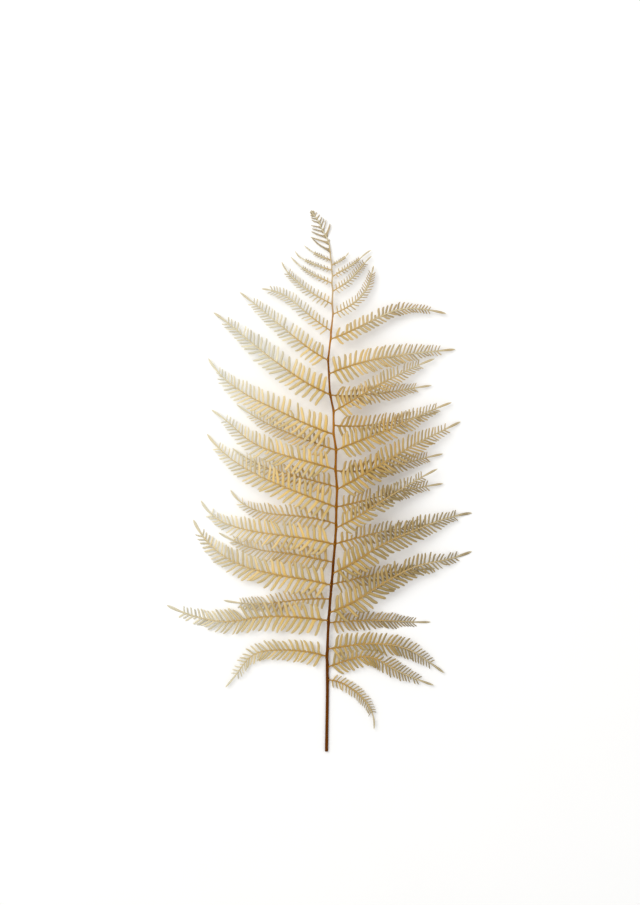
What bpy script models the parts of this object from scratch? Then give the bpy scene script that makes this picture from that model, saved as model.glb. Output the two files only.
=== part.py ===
"""Preserved fern frond, laid on a surface with its cut end to -Y and its tip to +Y.

One tapered stalk carries side branches, called pinnae, on both sides. Each pinna is one thin arched blade,
cut to its midrib into leaflets. The ones of the front row lie over the ones of the row under it, and the
tips of the longest rest on the surface, as do the cut end and the tip of the frond.

Lengths here are in millimetres and are turned into metres as each mesh is made. Heights up the frond are
measured from the cut end. Bearings are degrees above straight out from the stalk, towards the tip.
"""

import math
from typing import NamedTuple

import bpy
import numpy as np

METRES_PER_MM = 0.001

LEFT, RIGHT = -1, 1
FRONT, UNDER = 1, -1

# Overall form
FROND_LENGTH = 451.0
REST_RUN = 40.0  # straight run at the cut end, whose lower facet is what the stalk rests on
ARCH_RISE = 20.0  # how far the stalk bows up off the surface halfway along
DRAPE_REACH = 118.0  # how far from the stalk the pinnae have come down to the surface

# Stalk
STALK_SIDES = 6
STALK_TOP = 416.5
STALK_RING_STEP = 9.0
STALK_THICKNESS = ((0.0, 2.7), (50.0, 2.6), (110.0, 2.3), (200.0, 2.0), (300.0, 1.7), (380.0, 1.3), (451.0, 0.8))
# Height up the frond, and how far the stalk stands to the right of its mean line
STALK_LINE = (
    (0.0, -4.6), (50.0, -3.8), (80.0, -4.1), (110.0, -2.9), (140.0, -0.4), (159.5, 1.2), (174.5, 2.5),
    (189.0, 3.3), (205.0, 3.5), (220.0, 4.1), (236.0, 2.8), (252.0, 3.3), (266.0, 1.2), (284.0, 1.2),
    (298.0, -1.7), (315.0, -2.7), (326.5, -3.2), (344.5, -1.2), (365.0, 0.8), (374.0, 0.2), (384.5, 0.7),
    (391.0, -0.1), (397.0, 0.6), (402.0, -0.3), (406.0, 0.0), (410.0, -0.8), (418.0, -1.7), (424.0, -2.4),
    (430.0, -4.8), (437.0, -8.9), (442.0, -10.5), (446.0, -13.4), (449.5, -16.2), (451.0, -17.3),
)

# Pinnae
SEAT_GAP = 0.3  # between a pinna's root and the stalk
RIB_THICKNESS = 0.9
LEAFLET_THICKNESS = 0.65
RIB_WIDTH_ROOT = 1.9
RIB_WIDTH_TIP = 0.7
LONGEST_LEAFLETS = {LEFT: 14.6, RIGHT: 13.0}
LEAFLET_BASE_LENGTH = 2.2  # leaflet length on a pinna of no length
LEAFLET_PER_LENGTH = 0.105  # and how much longer it is for each mm of pinna
FIRST_LEAFLET = 6.0  # from the root along the midrib
BARE_TAIL_SHARE = 0.1
LEAFLET_TIP_SHARE = 0.36  # width of a leaflet's blunt end beside its pitch
PITCH_MOST = 7.8
PITCH_PER_LENGTH = 0.52  # leaflet spacing beside its length
PITCH_EXTRA = 0.5
PITCH_LEAST = 2.7
UPPER_LEAFLET_BEARING = 66.0  # from the midrib, on the side of the frond's tip
LOWER_LEAFLET_BEARING = 53.0
UPPER_LEAFLET_SHARE = 0.9
NEIGHBOUR_CLEARANCE = 1.6
LEAFLET_DROOP = 0.4
ROW_LIFT_NEAR = 1.1  # how far each row stands from the middle surface once clear of the stalk
ROW_LIFT_FAR = 2.3
ROW_LIFT_NEAR_REACH = 6.0
ROW_LIFT_FAR_REACH = 46.0
FRONT_ROW_LANDS = (93.0, 108.0)  # the front row comes down past the ends of the row under it
MIDRIB_STEPS = 80


class Pinna(NamedTuple):
    name: str
    side: int
    row: int
    root: float
    length: float
    bearings: tuple


class Lobe(NamedTuple):
    side: int
    root: float
    width: float
    length: float
    bearing: float


PINNAE = (
    Pinna("pinna_left_01", LEFT, FRONT, 80.0, 97.0, (18, 4, -4, -56, -48)),
    Pinna("pinna_left_02", LEFT, FRONT, 110.0, 136.0, (8, 3, -12, 12, 27)),
    Pinna("pinna_left_03", LEFT, FRONT, 140.0, 132.0, (14, 8, 15, 38, 67)),
    Pinna("pinna_left_04", LEFT, FRONT, 174.0, 120.0, (14, 7, 7, 20, 62)),
    Pinna("pinna_left_05", LEFT, FRONT, 205.0, 124.0, (21, 21, 24, 35, 55)),
    Pinna("pinna_left_06", LEFT, FRONT, 236.0, 115.0, (17, 14, 20, 44, 33)),
    Pinna("pinna_left_07", LEFT, FRONT, 265.0, 123.0, (18, 26, 25, 36, 60)),
    Pinna("pinna_left_08", LEFT, FRONT, 298.0, 118.0, (23, 34, 38, 41, 35)),
    Pinna("pinna_left_09", LEFT, FRONT, 326.5, 92.0, (28, 39, 40, 40, 38)),
    Pinna("pinna_left_10", LEFT, FRONT, 351.0, 68.0, (33, 38, 44, 25, 4)),
    Pinna("pinna_left_11", LEFT, FRONT, 373.5, 55.0, (25, 31, 38, 46, 68)),
    Pinna("pinna_left_12", LEFT, FRONT, 391.0, 40.0, (24, 25, 30, 40, 50)),
    Pinna("pinna_left_13", LEFT, FRONT, 402.0, 34.0, (12, 20, 24, 28, 66)),
    Pinna("pinna_left_14", LEFT, FRONT, 410.3, 24.6, (19, 22, 27, 36, 44)),
    Pinna("pinna_right_01", RIGHT, FRONT, 60.0, 61.0, (-6, -30, -44, -66, -98)),
    Pinna("pinna_right_02", RIGHT, FRONT, 71.0, 94.0, (22, 16, -34, -23, -19)),
    Pinna("pinna_right_03", RIGHT, FRONT, 86.0, 103.0, (11, 6, -7, -34, -37)),
    Pinna("pinna_right_04", RIGHT, FRONT, 117.0, 129.0, (20, 34, 29, 8, 22)),
    Pinna("pinna_right_05", RIGHT, FRONT, 150.0, 126.0, (26, 34, 22, 20, 7)),
    Pinna("pinna_right_06", RIGHT, FRONT, 188.0, 96.0, (26, 32, 32, 30, 26)),
    Pinna("pinna_right_07", RIGHT, FRONT, 220.0, 116.0, (28, 31, 30, 26, 26)),
    Pinna("pinna_right_08", RIGHT, FRONT, 252.0, 103.0, (24, 19, 25, 24, 20)),
    Pinna("pinna_right_09", RIGHT, FRONT, 284.0, 94.0, (30, 32, 28, 26, 20)),
    Pinna("pinna_right_10", RIGHT, FRONT, 315.0, 107.0, (24, 15, 9, 6, 6)),
    Pinna("pinna_right_11", RIGHT, FRONT, 344.0, 101.0, (19, 28, 24, -4, -15)),
    Pinna("pinna_right_12", RIGHT, FRONT, 365.0, 55.0, (22, 31, 50, 72, 78)),
    Pinna("pinna_right_13", RIGHT, FRONT, 384.5, 43.0, (29, 35, 50, 50, 42)),
    Pinna("pinna_right_14", RIGHT, FRONT, 397.0, 38.0, (32, 29, 36, 42, 30)),
    Pinna("pinna_right_15", RIGHT, FRONT, 406.3, 17.0, (27, 30, 32, 46, 62)),
    Pinna("pinna_under_left_01", LEFT, UNDER, 128.0, 88.0, (2, -6, -8, 2, 12)),
    Pinna("pinna_under_left_02", LEFT, UNDER, 159.0, 98.0, (12, 11, 4, 20, 30)),
    Pinna("pinna_under_left_03", LEFT, UNDER, 191.0, 94.0, (18, 7, 3, 22, 60)),
    Pinna("pinna_under_left_04", LEFT, UNDER, 221.5, 92.0, (16, 14, 14, 26, 38)),
    Pinna("pinna_under_left_05", LEFT, UNDER, 252.0, 90.0, (18, 20, 22, 30, 36)),
    Pinna("pinna_under_right_01", RIGHT, UNDER, 108.0, 84.0, (6, 2, -2, -4, 2)),
    Pinna("pinna_under_right_02", RIGHT, UNDER, 140.5, 86.0, (14, 12, 8, 4, 4)),
    Pinna("pinna_under_right_03", RIGHT, UNDER, 174.5, 88.0, (16, 14, 10, 8, 4)),
    Pinna("pinna_under_right_04", RIGHT, UNDER, 205.0, 90.0, (12, 14, 14, 10, 8)),
    Pinna("pinna_under_right_05", RIGHT, UNDER, 234.5, 90.0, (-4, 6, 12, 14, 12)),
    Pinna("pinna_under_right_06", RIGHT, UNDER, 272.0, 88.0, (-6, 4, 10, 12, 14)),
    Pinna("pinna_under_right_07", RIGHT, UNDER, 297.0, 84.0, (-5, 4, 8, 10, 8)),
)

# The top of the frond: simple lobes at heights up it, wider at their roots than at their blunt ends
LOBES = (
    Lobe(LEFT, 418.5, 1.6, 17.5, 26.0),
    Lobe(LEFT, 423.6, 1.6, 14.8, 20.0),
    Lobe(LEFT, 428.6, 1.5, 12.2, 22.0),
    Lobe(LEFT, 432.4, 1.4, 10.2, 13.0),
    Lobe(LEFT, 436.4, 1.3, 7.8, 9.0),
    Lobe(LEFT, 440.8, 1.3, 6.4, 18.0),
    Lobe(LEFT, 444.4, 1.2, 5.0, 9.0),
    Lobe(RIGHT, 426.0, 1.4, 2.2, 45.0),
    Lobe(RIGHT, 430.8, 1.7, 9.6, 74.0),
    Lobe(RIGHT, 434.4, 1.4, 9.0, 72.0),
    Lobe(RIGHT, 438.2, 1.3, 6.8, 64.0),
    Lobe(RIGHT, 442.0, 1.2, 4.5, 64.0),
    Lobe(RIGHT, 445.4, 1.1, 3.4, 55.0),
    Lobe(RIGHT, 448.2, 1.0, 2.8, 50.0),
)
TIP_RIB_WIDTH = (1.0, 0.8)
TIP_SEAT_GAP = 0.3
TIP_LOBE_END_SHARE = 0.6

STALK_COLOUR = (0.36, 0.17, 0.05, 1.0)
FRONT_COLOUR = (0.80, 0.68, 0.42, 1.0)
UNDER_COLOUR = (0.72, 0.56, 0.30, 1.0)
TIP_COLOUR = (0.78, 0.68, 0.47, 1.0)


def smooth(share):
    """0 up to 0, 1 from 1 on, and an even S between."""
    share = np.clip(share, 0.0, 1.0)
    return share * share * (3.0 - 2.0 * share)


def stalk_side(height):
    heights, sides = zip(*STALK_LINE)
    return np.interp(height, heights, sides)


def stalk_radius(height):
    heights, widths = zip(*STALK_THICKNESS)
    return np.interp(height, heights, widths) / 2.0


def facet_depth(height):
    """How far the stalk's flat lower facet lies under its axis."""
    return stalk_radius(height) * math.cos(math.pi / STALK_SIDES)


def stalk_axis(height):
    """The height of the stalk's axis over the surface: flat at the cut end, then one low arch to the tip."""
    along = np.clip((height - REST_RUN) / (FROND_LENGTH - REST_RUN), 0.0, 1.0)
    return facet_depth(height) + ARCH_RISE * np.sin(math.pi * along) ** 2


def blade_height(x, y, row):
    """The height of a blade's middle surface over the ground at a place in plan, for one of the two rows.

    Both rows follow one draped surface and stand a little over or under it, so they never meet.
    """
    out = np.abs(x - stalk_side(y))
    drape = np.clip(1.0 - (out / DRAPE_REACH) ** 2, 0.0, 1.0) ** 2
    surface = (stalk_axis(y) - RIB_THICKNESS / 2.0) * drape
    far_share = smooth((out - ROW_LIFT_NEAR_REACH) / (ROW_LIFT_FAR_REACH - ROW_LIFT_NEAR_REACH))
    lift = ROW_LIFT_NEAR * smooth(out / ROW_LIFT_NEAR_REACH) + (ROW_LIFT_FAR - ROW_LIFT_NEAR) * far_share
    if row == FRONT:
        starts, ends = FRONT_ROW_LANDS
        lift = lift * (1.0 - smooth((out - starts) / (ends - starts)))
    return RIB_THICKNESS / 2.0 + np.maximum(surface + row * lift, 0.0)


def midrib_of(pinna):
    """Points of a pinna's midrib in plan, at even steps from its root to its tip."""
    share = np.linspace(0.0, 1.0, MIDRIB_STEPS + 1)
    middle = (share[1:] + share[:-1]) / 2.0
    bearing = np.radians(np.interp(middle, np.linspace(0.0, 1.0, len(pinna.bearings)), pinna.bearings))
    step = pinna.length / MIDRIB_STEPS
    start_x = stalk_side(pinna.root) + pinna.side * (stalk_radius(pinna.root) + SEAT_GAP)
    x = start_x + pinna.side * np.concatenate([[0.0], np.cumsum(np.cos(bearing) * step)])
    y = pinna.root + np.concatenate([[0.0], np.cumsum(np.sin(bearing) * step)])
    return np.column_stack([x, y])


def point_along(line, distance):
    """(point, unit direction) at a distance along a line of points."""
    steps = np.linalg.norm(np.diff(line, axis=0), axis=1)
    travelled = np.concatenate([[0.0], np.cumsum(steps)])
    point = np.array([np.interp(distance, travelled, line[:, i]) for i in (0, 1)])
    i = int(np.clip(np.searchsorted(travelled, distance) - 1, 0, len(steps) - 1))
    return point, (line[i + 1] - line[i]) / steps[i]


def distance_to(point, line):
    """The least distance from a point to a line of points, in plan."""
    starts = line[:-1]
    spans = line[1:] - starts
    share = np.clip(((point - starts) * spans).sum(axis=1) / (spans**2).sum(axis=1), 0.0, 1.0)
    return float(np.linalg.norm(starts + spans * share[:, None] - point, axis=1).min())


def leaflet_length(pinna, distance):
    """How long the leaflets are at a distance from a pinna's root: full over its inner half, then ever shorter."""
    full = min(LONGEST_LEAFLETS[pinna.side], LEAFLET_BASE_LENGTH + LEAFLET_PER_LENGTH * pinna.length)
    share = distance / pinna.length
    return full * float(np.interp(share, (0.0, 0.12, 0.5, 0.75, 0.9), (0.78, 1.0, 1.0, 0.7, 0.27)))


def leaflet_tip(root, along, across, reach, bearing):
    angle = math.radians(bearing)
    return root + reach * (math.cos(angle) * along + math.sin(angle) * across)


class Blade:
    """A thin blade built from corners in plan, with its two faces split into the same triangles."""

    def __init__(self, row):
        self.row = row
        self.corners = []
        self.thickness = []
        self.droop = []
        self.triangles = []

    def corner(self, point, thickness, droop=0.0):
        self.corners.append((float(point[0]), float(point[1])))
        self.thickness.append(thickness)
        self.droop.append(droop)
        return len(self.corners) - 1

    def quad(self, a, b, c, d):
        self.triangle(a, b, c)
        self.triangle(a, c, d)

    def triangle(self, a, b, c):
        (ax, ay), (bx, by), (cx, cy) = (self.corners[i] for i in (a, b, c))
        turns_left = (bx - ax) * (cy - ay) > (by - ay) * (cx - ax)
        self.triangles.append((a, b, c) if turns_left else (a, c, b))

    def solid(self):
        """(points, faces) of the closed blade: the upper face, the lower face and the wall round the edge."""
        plan = np.array(self.corners)
        half = np.array(self.thickness) / 2.0
        middle = blade_height(plan[:, 0], plan[:, 1], self.row) - np.array(self.droop)
        middle = np.maximum(middle, half)
        upper = np.column_stack([plan, middle + half])
        lower = np.column_stack([plan, middle - half])
        count = len(plan)
        edges = {edge for t in self.triangles for edge in ((t[0], t[1]), (t[1], t[2]), (t[2], t[0]))}
        rim = [(a, b) for a, b in edges if (b, a) not in edges]
        faces = list(self.triangles)
        faces += [(c + count, b + count, a + count) for a, b, c in self.triangles]
        for a, b in sorted(rim):
            faces.append((b, a, a + count))
            faces.append((b, a + count, b + count))
        return np.vstack([upper, lower]), faces


def rib_corners(blade, line, distance, side, width, thickness):
    """The two corners where the rib's edges stand at a distance: towards the frond's tip, then away from it."""
    point, along = point_along(line, distance)
    across = side * np.array([-along[1], along[0]])
    return tuple(blade.corner(point + edge * across * width / 2.0, thickness) for edge in (1.0, -1.0))


def add_leaflet(blade, pinna, line, others, near, far, edge, corners):
    """One leaflet on the rib between two distances, kept on its own side of the line midway to its neighbours."""
    point, along = point_along(line, (near + far) / 2.0)
    across = edge * pinna.side * np.array([-along[1], along[0]])
    bearing = UPPER_LEAFLET_BEARING if edge > 0 else LOWER_LEAFLET_BEARING
    reach = leaflet_length(pinna, (near + far) / 2.0) * (UPPER_LEAFLET_SHARE if edge > 0 else 1.0)
    tip = leaflet_tip(point, along, across, reach, bearing)
    while min(distance_to(tip, other) for other in others) < distance_to(tip, line) + NEIGHBOUR_CLEARANCE:
        reach *= 0.93
        tip = leaflet_tip(point, along, across, reach, bearing)
    half_end = along * (far - near) * LEAFLET_TIP_SHARE / 2.0
    tip_near = blade.corner(tip - half_end, LEAFLET_THICKNESS, LEAFLET_DROOP)
    tip_far = blade.corner(tip + half_end, LEAFLET_THICKNESS, LEAFLET_DROOP)
    blade.quad(corners[0], tip_near, tip_far, corners[1])


def pinna_blade(pinna, line, others):
    """One pinna: a rib with a leaflet on each side in every step, and a bare tapering tail."""
    blade = Blade(pinna.row)
    first = min(FIRST_LEAFLET, 0.14 * pinna.length)
    last = pinna.length * (1.0 - BARE_TAIL_SHARE)
    stations = [0.0, first]
    while stations[-1] < last:
        pitch = PITCH_PER_LENGTH * leaflet_length(pinna, stations[-1]) + PITCH_EXTRA
        stations.append(stations[-1] + float(np.clip(pitch, PITCH_LEAST, PITCH_MOST)))
    leafy_to = len(stations) - 1
    stations.append(pinna.length)
    before = None
    for i, distance in enumerate(stations):
        share = min(distance / pinna.length, 1.0)
        width = RIB_WIDTH_ROOT + (RIB_WIDTH_TIP - RIB_WIDTH_ROOT) * share
        thickness = RIB_THICKNESS + (LEAFLET_THICKNESS - RIB_THICKNESS) * share
        now = rib_corners(blade, line, distance, pinna.side, width, thickness)
        if before is not None:
            blade.quad(before[0], before[1], now[1], now[0])
            if 2 <= i <= leafy_to:
                near = stations[i - 1]
                for edge, corner in ((1.0, 0), (-1.0, 1)):
                    pair = (before[corner], now[corner])
                    add_leaflet(blade, pinna, line, others, near, distance, edge, pair)
        before = now
    return blade


def tip_line():
    heights = np.linspace(STALK_TOP + TIP_SEAT_GAP, FROND_LENGTH, 60)
    return np.column_stack([stalk_side(heights), heights])


def distance_at_height(line, height):
    steps = np.linalg.norm(np.diff(line, axis=0), axis=1)
    return float(np.interp(height, line[:, 1], np.concatenate([[0.0], np.cumsum(steps)])))


def tip_blade(line):
    """The top of the frond: a rib along the stalk's own line, with a simple lobe at each listed height."""
    blade = Blade(FRONT)
    stops = {0.0: None, distance_at_height(line, FROND_LENGTH): None}
    spans = []
    for lobe in LOBES:
        middle = distance_at_height(line, lobe.root)
        near, far = middle - lobe.width / 2.0, middle + lobe.width / 2.0
        spans.append((lobe, near, far))
        stops[near] = None
        stops[far] = None
    whole = max(stops)
    for distance in sorted(stops):
        share = distance / whole
        width = TIP_RIB_WIDTH[0] + (TIP_RIB_WIDTH[1] - TIP_RIB_WIDTH[0]) * share
        point, along = point_along(line, distance)
        leftward = np.array([-along[1], along[0]])
        left = blade.corner(point + leftward * width / 2.0, LEAFLET_THICKNESS)
        right = blade.corner(point - leftward * width / 2.0, LEAFLET_THICKNESS)
        stops[distance] = (left, right)
    ordered = sorted(stops)
    for near, far in zip(ordered[:-1], ordered[1:]):
        blade.quad(stops[near][0], stops[near][1], stops[far][1], stops[far][0])
    for lobe, near, far in spans:
        which = 0 if lobe.side == LEFT else 1
        inner = [distance for distance in ordered if near <= distance <= far]
        roots = [stops[distance][which] for distance in inner]
        point, _ = point_along(line, (near + far) / 2.0)
        angle = math.radians(lobe.bearing)
        outward = np.array([lobe.side * math.cos(angle), math.sin(angle)])
        width_line = np.array([-lobe.side * outward[1], lobe.side * outward[0]])
        half_end = width_line * lobe.width * TIP_LOBE_END_SHARE / 2.0
        end = point + outward * lobe.length
        lower_end = blade.corner(end - half_end, LEAFLET_THICKNESS)
        upper_end = blade.corner(end + half_end, LEAFLET_THICKNESS)
        for first, second in zip(roots[:-1], roots[1:]):
            blade.triangle(first, lower_end, second)
        blade.triangle(roots[-1], lower_end, upper_end)
    return blade


def stalk_solid():
    """(points, faces) of the stalk: rings of corners along its line, with a flat facet below."""
    listed = [height for height, _ in STALK_LINE if height < STALK_TOP - 1.0]
    even = list(np.arange(0.0, STALK_TOP, STALK_RING_STEP))
    heights = sorted({round(h, 3) for h in listed + even + [REST_RUN, STALK_TOP]})
    kept = [heights[0]]
    for height in heights[1:]:
        if height - kept[-1] >= STALK_RING_STEP / 3.0:
            kept.append(height)
    kept[-1] = STALK_TOP
    points = []
    for height in kept:
        radius = stalk_radius(height)
        for corner in range(STALK_SIDES):
            angle = 2.0 * math.pi * corner / STALK_SIDES
            x = stalk_side(height) + radius * math.cos(angle)
            points.append((x, height, stalk_axis(height) + radius * math.sin(angle)))
    faces = [tuple(range(STALK_SIDES))]
    for ring in range(len(kept) - 1):
        for corner in range(STALK_SIDES):
            after = (corner + 1) % STALK_SIDES
            a, b = ring * STALK_SIDES + corner, ring * STALK_SIDES + after
            faces.append((a, a + STALK_SIDES, b + STALK_SIDES, b))
    last = (len(kept) - 1) * STALK_SIDES
    faces.append(tuple(last + corner for corner in reversed(range(STALK_SIDES))))
    return np.array(points), faces


def material(name, colour, roughness):
    made = bpy.data.materials.new(name)
    made.use_nodes = True
    shader = made.node_tree.nodes["Principled BSDF"]
    shader.inputs["Base Color"].default_value = colour
    shader.inputs["Roughness"].default_value = roughness
    made.diffuse_color = colour
    return made


def add_object(name, points, faces, colour, roughness, rounded):
    mesh = bpy.data.meshes.new(name)
    mesh.from_pydata((points * METRES_PER_MM).tolist(), [], [tuple(int(i) for i in face) for face in faces])
    for polygon in mesh.polygons:
        polygon.use_smooth = rounded and len(polygon.vertices) == 4
    mesh.materials.append(material(name, colour, roughness))
    mesh.update()
    bpy.context.scene.collection.objects.link(bpy.data.objects.new(name, mesh))


def main():
    for old in list(bpy.data.objects):
        bpy.data.objects.remove(old)
    lines = {pinna.name: midrib_of(pinna) for pinna in PINNAE}
    top = tip_line()
    heights = np.linspace(0.0, STALK_TOP, 120)
    stem = np.column_stack([stalk_side(heights), heights])
    solids = [("stalk", *stalk_solid(), STALK_COLOUR, 0.55, True)]
    for pinna in PINNAE:
        others = [lines[o.name] for o in PINNAE if o.row == pinna.row and o.name != pinna.name]
        points, faces = pinna_blade(pinna, lines[pinna.name], others + [top, stem]).solid()
        colour = FRONT_COLOUR if pinna.row == FRONT else UNDER_COLOUR
        solids.append((pinna.name, points, faces, colour, 0.7, False))
    solids.append(("frond_tip", *tip_blade(top).solid(), TIP_COLOUR, 0.7, False))
    everything = np.vstack([points for _, points, *_ in solids])
    low, high = everything.min(axis=0), everything.max(axis=0)
    shift = np.array([(low[0] + high[0]) / 2.0, (low[1] + high[1]) / 2.0, low[2]])
    for name, points, faces, colour, roughness, rounded in solids:
        add_object(name, points - shift, faces, colour, roughness, rounded)
    print("origin in the frond's own measures, mm:", [round(float(value), 3) for value in shift])


main()
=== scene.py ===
"""Preserved bracken frond laid flat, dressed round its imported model.

The stalk becomes one grooved, tapered stem. Each pinna becomes a round tapering rib with fine leaflets, which
a Geometry Nodes tree sets along it, and the top of the frond becomes a rib with simple lobes. All of them
follow the same lines and the same draped surface as the solids.

Sizes in the tables are in millimetres. Heights up the frond are measured from its cut end, and bearings are
degrees above straight out from the stalk, towards the tip. Sizes in the trees and materials are in metres.
"""

import math
from typing import NamedTuple

import bpy
import numpy as np
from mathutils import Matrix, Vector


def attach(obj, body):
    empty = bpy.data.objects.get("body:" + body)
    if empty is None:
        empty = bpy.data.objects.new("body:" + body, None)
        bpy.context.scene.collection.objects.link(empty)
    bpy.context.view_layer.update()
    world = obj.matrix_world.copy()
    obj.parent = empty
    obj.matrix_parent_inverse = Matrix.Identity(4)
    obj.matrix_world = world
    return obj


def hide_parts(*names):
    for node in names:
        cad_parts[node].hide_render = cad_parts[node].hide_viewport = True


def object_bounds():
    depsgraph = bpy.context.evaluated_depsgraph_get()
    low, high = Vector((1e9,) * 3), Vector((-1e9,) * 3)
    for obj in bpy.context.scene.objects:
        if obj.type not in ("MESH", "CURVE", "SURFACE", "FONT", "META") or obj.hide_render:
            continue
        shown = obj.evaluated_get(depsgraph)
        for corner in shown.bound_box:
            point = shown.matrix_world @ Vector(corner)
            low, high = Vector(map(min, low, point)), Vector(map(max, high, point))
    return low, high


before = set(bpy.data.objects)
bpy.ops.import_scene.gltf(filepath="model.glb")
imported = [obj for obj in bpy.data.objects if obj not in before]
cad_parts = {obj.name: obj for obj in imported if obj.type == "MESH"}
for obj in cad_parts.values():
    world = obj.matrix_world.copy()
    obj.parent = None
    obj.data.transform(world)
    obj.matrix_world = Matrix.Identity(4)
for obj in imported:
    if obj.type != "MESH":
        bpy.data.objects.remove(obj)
CAD_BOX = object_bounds()

bl_info = {
    "name": "Preserved Fern Frond",
    "version": (1, 0, 0),
    "blender": (4, 5, 0),
    "location": "3D View > Sidebar > Frond",
    "description": "Builds a bleached, preserved bracken frond laid flat: stalk, pinnae and lobed tip",
    "category": "Add Mesh",
}

METRES_PER_MM = 0.001
LEFT, RIGHT = -1, 1
FRONT, UNDER = 1, -1

# The model's origin in the frond's own measures
ORIGIN = (-10.48, 225.618, 0.0)

# Overall form, as in the solids
FROND_LENGTH = 451.0
REST_RUN = 40.0
ARCH_RISE = 20.0
DRAPE_REACH = 118.0
RIB_THICKNESS = 0.9
ROW_LIFT_NEAR = 1.1
ROW_LIFT_FAR = 2.3
ROW_LIFT_NEAR_REACH = 6.0
ROW_LIFT_FAR_REACH = 46.0
FRONT_ROW_LANDS = (93.0, 108.0)

# How the fine pieces settle on that form
LEAST_HEIGHT = 0.3  # how softly the blades settle on the surface under them
HIGHEST_EXTRA = 0.45  # how far the leaflets may stand over the top of the solids
TOP_SOFTNESS = 0.6  # how softly they keep under that
STALK_CLEARANCE = 0.6  # how far from the stalk's side leaf is lifted or lowered past its middle
STALK_CLEARANCE_REACH = 2.5  # how far out that ends

# Stalk
STALK_TOP = 416.5
TIP_RIB_OVERLAP = 0.4
SEAT_GAP = 0.3
SEAT_DEPTH = 0.55  # how far a rib's root goes into the stalk, as a share of the stalk's radius
STALK_FLATTENING = math.cos(math.pi / 6.0)  # its height beside its width
STALK_THICKNESS = (
    (0.0, 2.7), (50.0, 2.6), (110.0, 2.3), (200.0, 2.0), (300.0, 1.7), (380.0, 1.3), (451.0, 0.8),
)
STALK_LINE = (
    (0.0, -4.6), (50.0, -3.8), (80.0, -4.1), (110.0, -2.9), (140.0, -0.4), (159.5, 1.2), (174.5, 2.5),
    (189.0, 3.3), (205.0, 3.5), (220.0, 4.1), (236.0, 2.8), (252.0, 3.3), (266.0, 1.2), (284.0, 1.2),
    (298.0, -1.7), (315.0, -2.7), (326.5, -3.2), (344.5, -1.2), (365.0, 0.8), (374.0, 0.2), (384.5, 0.7),
    (391.0, -0.1), (397.0, 0.6), (402.0, -0.3), (406.0, 0.0), (410.0, -0.8), (418.0, -1.7), (424.0, -2.4),
    (430.0, -4.8), (437.0, -8.9), (442.0, -10.5), (446.0, -13.4), (449.5, -16.2), (451.0, -17.3),
)
STALK_RING_STEP = 1.6
STALK_SIDES = 24
KINK_SOFTNESS = 2.2  # how far a kink of the stalk is rounded off along it
JOINT_SWELLING = 0.42
JOINT_SWELLING_LENGTH = 2.4
JOINT_FULL_PINNA = 70.0  # pinnae shorter than this swell their joint less
JOINT_UNDER_SHARE = 0.6
GROOVE_DEPTH_SHARE = 0.24
GROOVE_HALF_ANGLE = 0.42
GROOVE_START = 30.0  # where the groove starts, and how long it takes to reach its depth
FLUTES = 5.0
FLUTE_DEPTH_SHARE = 0.025
FLUTE_TWIST = 0.01
CUT_BEVEL = 0.25
CUT_EDGE_SHARE = 0.9
PITH_SHARE = 0.58
PITH_FLOOR_SHARE = 0.85
PITH_RECESS = 0.12

# Pinnae
MIDRIB_STEPS = 80
RIB_SIDES = 10
ROOT_SWELLING = 0.4
ROOT_SWELLING_REACH = 0.0026  # metres
LONG_PINNA = 118.0  # shorter pinnae have closer, narrower leaflets
MOST_SIZE = 1.08
SPACING_LEAST_SHARE = 0.43
WIDTH_LEAST_SHARE = 0.22
TAIL_LEAST_SHARE = 0.35
RIB_LEAST_SHARE = 0.6
LEAST_PAIRS = 4
SEED_STEP = 37
LONGEST_LEAFLETS = {LEFT: 15.2, RIGHT: 14.2}
LEAFLET_BASE_LENGTH = 0.6
LEAFLET_PER_LENGTH = 0.115
LEAFLET_PROFILE = (
    (0.0, 0.86), (0.07, 1.0), (0.25, 1.0), (0.5, 0.95), (0.64, 0.87), (0.75, 0.7), (0.86, 0.49), (1.0, 0.27),
)
PROFILE_END = 0.96  # how much of that profile a rib uses
EVEN_LENGTH = 0.8  # of the longest: the leaflets of a short pinna are nearly one length
EVEN_LENGTHS = (50.0, 112.0)  # on pinnae between these lengths the evenness falls
EVENNESS = (0.75, 0.1)
BROADEST = 0.58  # how much broader leaflets are by the stalk than halfway out, on a long pinna
BROAD_REACH = 0.62  # how far out that ends
BROAD_LENGTHS = (50.0, 95.0)  # on pinnae between these lengths it grows from none to all
ROOT_SPREAD = 0.27  # how much more, in radians, the lower leaflets stand out from the rib by the stalk
ROOT_SPREAD_REACH = 0.4
CLOSENESS = {LEFT: 1.0, RIGHT: 0.9}  # spacing of the leaflets of either side beside the usual
FIRST_LEAFLET = 3.3
FIRST_LEAFLET_SHARE = 0.035  # on a short pinna
NARROWER_PINNAE = {"pinna_right_11": 0.7, "pinna_right_14": 0.86, "pinna_left_13": 0.8, "pinna_left_12": 0.8}
CROWDING = 0.19  # how much closer together the leaflets stand towards the tip of a pinna
STAGGER = 0.14  # how far, in pairs, an upper leaflet grows past the lower one
JITTER = 0.07
LEAN_SCALE = 62.0  # of the pattern by which neighbours lean together
OWN_LEAN = 0.045
LENGTH_DRAW = (0.9, 1.07)
WIDTH_DRAW = (0.86, 1.12)
PITCH_DRAW = (-0.05, 0.05)
UPPER_LENGTH = 0.93  # an upper leaflet's length beside a lower one's
ROOM_SHARE = 0.64  # how much of the way to the next rib a leaflet may take
LEAST_CLOSING = 0.05
STUNTED_SHARE = 0.02
STUNTED_LOSS = 0.55
SLENDEREST = 0.3
MOST_ROLL = 0.48
DRIFT_SCALE = 75.0  # of the pattern by which neighbours dry alike
DRIFT_RANGE = (0.3, 0.7)
DRIFT_DRAW = (-0.9, 0.9)

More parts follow.
